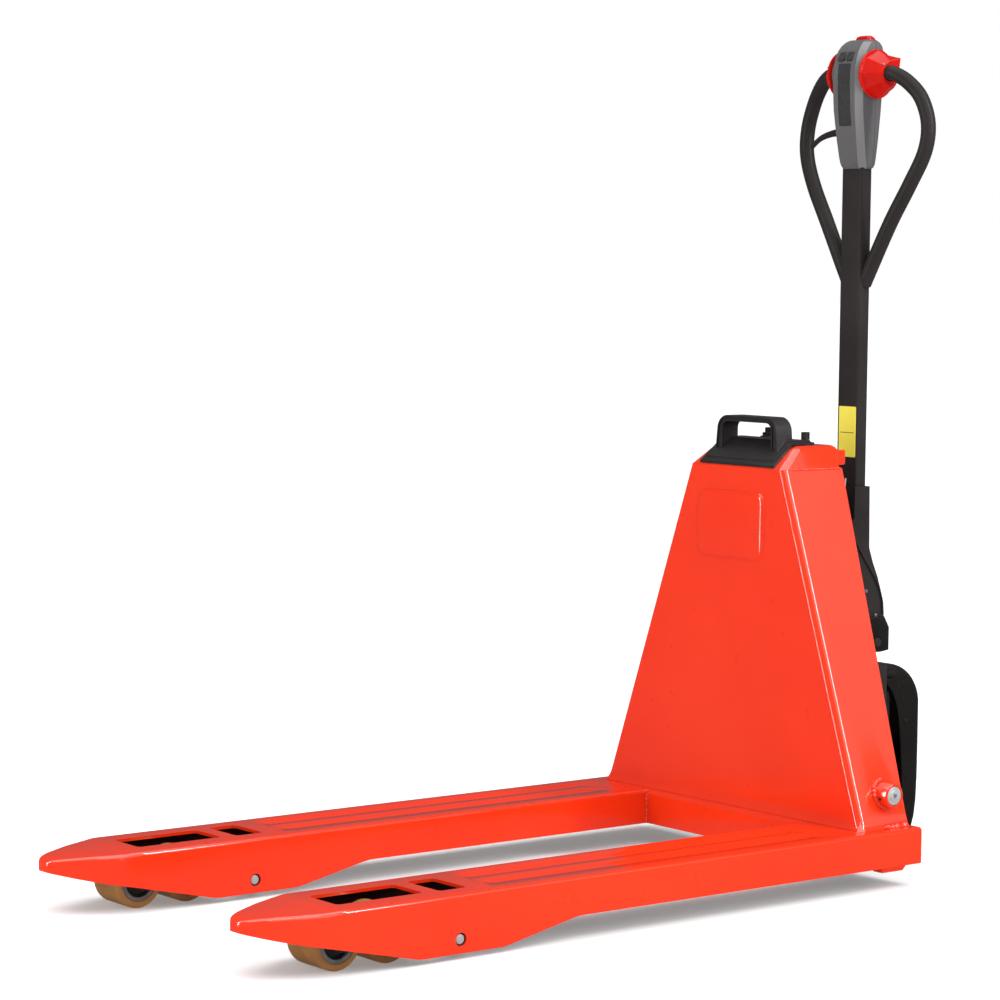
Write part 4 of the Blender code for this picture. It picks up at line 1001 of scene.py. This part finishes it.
def make_buttons():
    for name in ("raise", "lower"):
        (x0, x1), (front, rear), (z0, z1) = spans(f"{name}_button")
        cap = slab("y", (x0, z0), (x1, z1), (front + 0.0002, rear), 0.0018, 4)
        for v in cap.verts:
            if v.co.y < 0.135:
                v.co.y += 0.45 * (v.co.z - z0) * (v.co.z > z0)
        finished(f"{name}_button", cap, SMOKE, f"{name}_switch", bevel=0.0007)
    (x0, x1), (y0, y1), (low, top) = spans("belly_button")
    rings = []
    crown = ((top - 0.008, 0), (top - 0.0045, 0.0007), (top - 0.002, 0.0024), (top - 0.0005, 0.0052))
    for z, inset in ((low, 0), *crown, (top, 0.008)):
        corners = (x0 + inset, y0 + inset), (x1 - inset, y1 - inset)
        outline = rounded_rectangle(*corners, 0.0062 - inset * 0.4)
        rings.append([(x, y, z - 0.35 * max(0, y - 0.176)) for x, y in outline])
    finished("belly_button", loft(rings), RED_KNOB, "belly_switch", sharp=50)


# The knob's body: sections along its axis, each with its radius every 45 degrees from the rear up
KNOB = (
    (0.039, (0.0385, 0.0412, 0.0402, 0.039, 0.0385, 0.039, 0.0408, 0.0403)),
    (0.044, (0.0365, 0.0414, 0.0385, 0.0358, 0.035, 0.0362, 0.04, 0.039)),
    (0.055, (0.032, 0.041, 0.033, 0.028, 0.027, 0.03, 0.034, 0.034)),
    (0.067, (0.024, 0.0384, 0.0224, 0.0184, 0.0182, 0.0202, 0.0242, 0.026)),
    (0.069, (0.022, 0.0362, 0.0204, 0.0168, 0.0166, 0.0186, 0.0222, 0.024)),
)


def knob_ring(x, radii):
    angles = [math.radians(45 * i) for i in range(8)]
    turns = [(r * math.cos(a), r * math.sin(a)) for r, a in zip(radii, angles)]
    return [(x, THROTTLE[0] + y, THROTTLE[1] + z) for y, z in turns]


def make_throttles():
    for name, side in SIDES:
        disc = [(0.0395, 0.0366), (0.0418, 0.0374), (0.042, 0.0392), (0.0412, 0.04)]
        knob = combined(turned(disc, "x", THROTTLE, 72), [loft([knob_ring(*row) for row in KNOB])], "UNION")
        knob = on_side(combined(knob, [cylinder(0.0136, "x", 0.02, 0.1, THROTTLE, 40)]), side)
        body = f"throttle_knob_{name}"
        finished(f"throttle_{name}", knob, RED_KNOB, body, bevel=0.0016, sharp=12)
        place = (side * 0.0672, (THROTTLE[0] - 0.012, THROTTLE[1] + 0.0145))
        socket_screw(f"throttle_screw_{name}", 0.002, 0.0012, place, body, side)


def make_lever():
    path = ((-0.0262, 1.2325), (-0.045, 1.235), (-0.07, 1.2325), (-0.095, 1.225), (-0.1165, 1.2105))
    path = smooth_path([(x, 0.163, z) for x, z in path], 6)
    thickness = ((0, 0.0078), (0.2, 0.0072), (0.45, 0.0058), (0.8, 0.0046), (0.95, 0.0046), (1, 0.003))
    lever = swept(path, lambda share, angle: between(thickness, share), 20, flatten=0.85)
    finished("lowering_lever", lever, BLACK, "finger_lever", sharp=60)


def make_cable():
    """The cable at the tiller's foot: one orange and one white wire, side by side."""
    points = [
        (0.002, 0.1454, 0.64), (0.004, 0.1388, 0.612), (0.004, 0.13, 0.58), (0.002, 0.133, 0.545),
        (0, 0.143, 0.518), (0, 0.16, 0.501), (0, 0.176, 0.484), (0, 0.185, 0.47),
    ]
    for name, dx, material in (("orange", -0.0012, ORANGE_WIRE), ("white", 0.0012, WHITE_WIRE)):
        wire = swept(smooth_path([(x + dx, y, z) for x, y, z in points], 6), 0.0011, 10, upright=(1, 0, 0))
        nodes = ("tiller_cable",) if name == "orange" else ()
        piece(f"tiller_wire_{name}", wire, material, "tiller", *nodes, sharp=60)


# Studio


def make_floor():
    data = bpy.data.meshes.new("studio_floor")
    reach = 60.0
    corners = [(-reach, -reach, 0), (reach, -reach, 0), (reach, reach, 0), (-reach, reach, 0)]
    data.from_pydata(corners, [], [(0, 1, 2, 3)])
    floor = placed("studio_floor", data)
    material, tree, shader = node_material("studio_floor", 0.9, specular=0.0)
    colour = mixed(tree, noise(tree, 0.6), (0.83, 0.83, 0.83), (0.85, 0.85, 0.85))
    tree.links.new(colour, shader.inputs["Base Color"])
    shader.inputs["Emission Color"].default_value = (1, 1, 1, 1)
    shader.inputs["Emission Strength"].default_value = FLOOR_GLOW
    data.materials.append(material)
    floor.visible_glossy = False


# The floor's own glow, and the sky as each kind of ray sees it. Suns have an azimuth, elevation, strength
# and spread; panels, which show in the paint, have an azimuth, distance, height, size and power.
FLOOR_GLOW = 0.22
SKY = 0.25
SKY_SEEN = 1.0
SKY_REFLECTED = 0.11
SUNS = (
    ("front_sun", 12, 22, 0.06, 45),
    ("side_sun", 92, 20, 0.46, 45),
    ("overhead_sun", 40, 82, 2.6, 80),
)
PANELS = (
    ("left_strip", -19, 4.0, 1.3, (0.26, 3.4), 54),
    ("right_strip", 112, 3.8, 3.1, (0.5, 3.6), 125),
    ("right_panel", 131, 4.0, 2.9, (1.3, 2.6), 5),
    ("head_panel", 60, 3.5, 3.2, (1.2, 1.2), 12),
)


def heading(azimuth, elevation):
    """The way to a place, in degrees: azimuth from the forks' way round to +X, elevation from the floor."""
    a, e = math.radians(azimuth), math.radians(elevation)
    return Vector((math.sin(a) * math.cos(e), -math.cos(a) * math.cos(e), math.sin(e)))


def lamp(name, kind, place, facing):
    light = bpy.data.lights.new(name, kind)
    made = placed(name, light)
    made.location = place
    made.rotation_euler = facing.to_track_quat("Z", "Y").to_euler()
    made.visible_camera = False
    return light


def make_sky():
    world = bpy.data.worlds.new("studio")
    world.use_nodes = True
    tree = world.node_tree
    sky = tree.nodes["Background"]
    sky.inputs["Color"].default_value = (1, 1, 1, 1)
    ray = tree.nodes.new("ShaderNodeLightPath")
    level = None
    for output, seen in (("Is Glossy Ray", SKY_REFLECTED), ("Is Camera Ray", SKY_SEEN)):
        choose = tree.nodes.new("ShaderNodeMix")
        tree.links.new(ray.outputs[output], choose.inputs["Factor"])
        choose.inputs["A"].default_value = SKY
        choose.inputs["B"].default_value = seen
        if level:
            tree.links.new(level, choose.inputs["A"])
        level = choose.outputs["Result"]
    tree.links.new(level, sky.inputs["Strength"])
    bpy.context.scene.world = world


def make_studio():
    make_floor()
    make_sky()
    for name, azimuth, elevation, strength, spread_angle in SUNS:
        way = heading(azimuth, elevation)
        light = lamp(name, "SUN", way * 5, way)
        light.energy = strength
        light.angle = math.radians(spread_angle)
    for name, azimuth, distance, height, size, power in PANELS:
        place = heading(azimuth, 0) * distance + Vector((0, SHIFT, height))
        light = lamp(name, "AREA", place, place - Vector((0, SHIFT, 0.6)))
        light.shape = "RECTANGLE"
        light.size, light.size_y = size
        light.energy = power
    bpy.context.scene.view_settings.view_transform = "Standard"


def make_camera():
    azimuth, elevation, roll = 51.86, 4.3, math.radians(0.66)
    back, level = heading(azimuth, elevation), heading(azimuth + 90, 0)
    steep = back.cross(level)
    right = level * math.cos(roll) + steep * math.sin(roll)
    up = steep * math.cos(roll) - level * math.sin(roll)
    camera = bpy.data.cameras.new("camera")
    camera.lens = 112.75
    made = placed("camera", camera)
    turn = Matrix((right, up, back)).transposed()
    made.matrix_world = Matrix.Translation((3.877, -3.655 + SHIFT, 1.001)) @ turn.to_4x4()
    bpy.context.scene.camera = made


make_camera()
make_studio()
for side_name, side_sign in SIDES:
    make_fork(side_name, side_sign)
make_beam()
make_housing()
make_cap()
make_battery()
make_top_fittings()
make_load_wheels()
make_carriage()
make_guard()
make_drive_unit()
make_tiller_base()
make_mast()
make_loop_handle()
make_head()
make_buttons()
make_throttles()
make_lever()
make_cable()
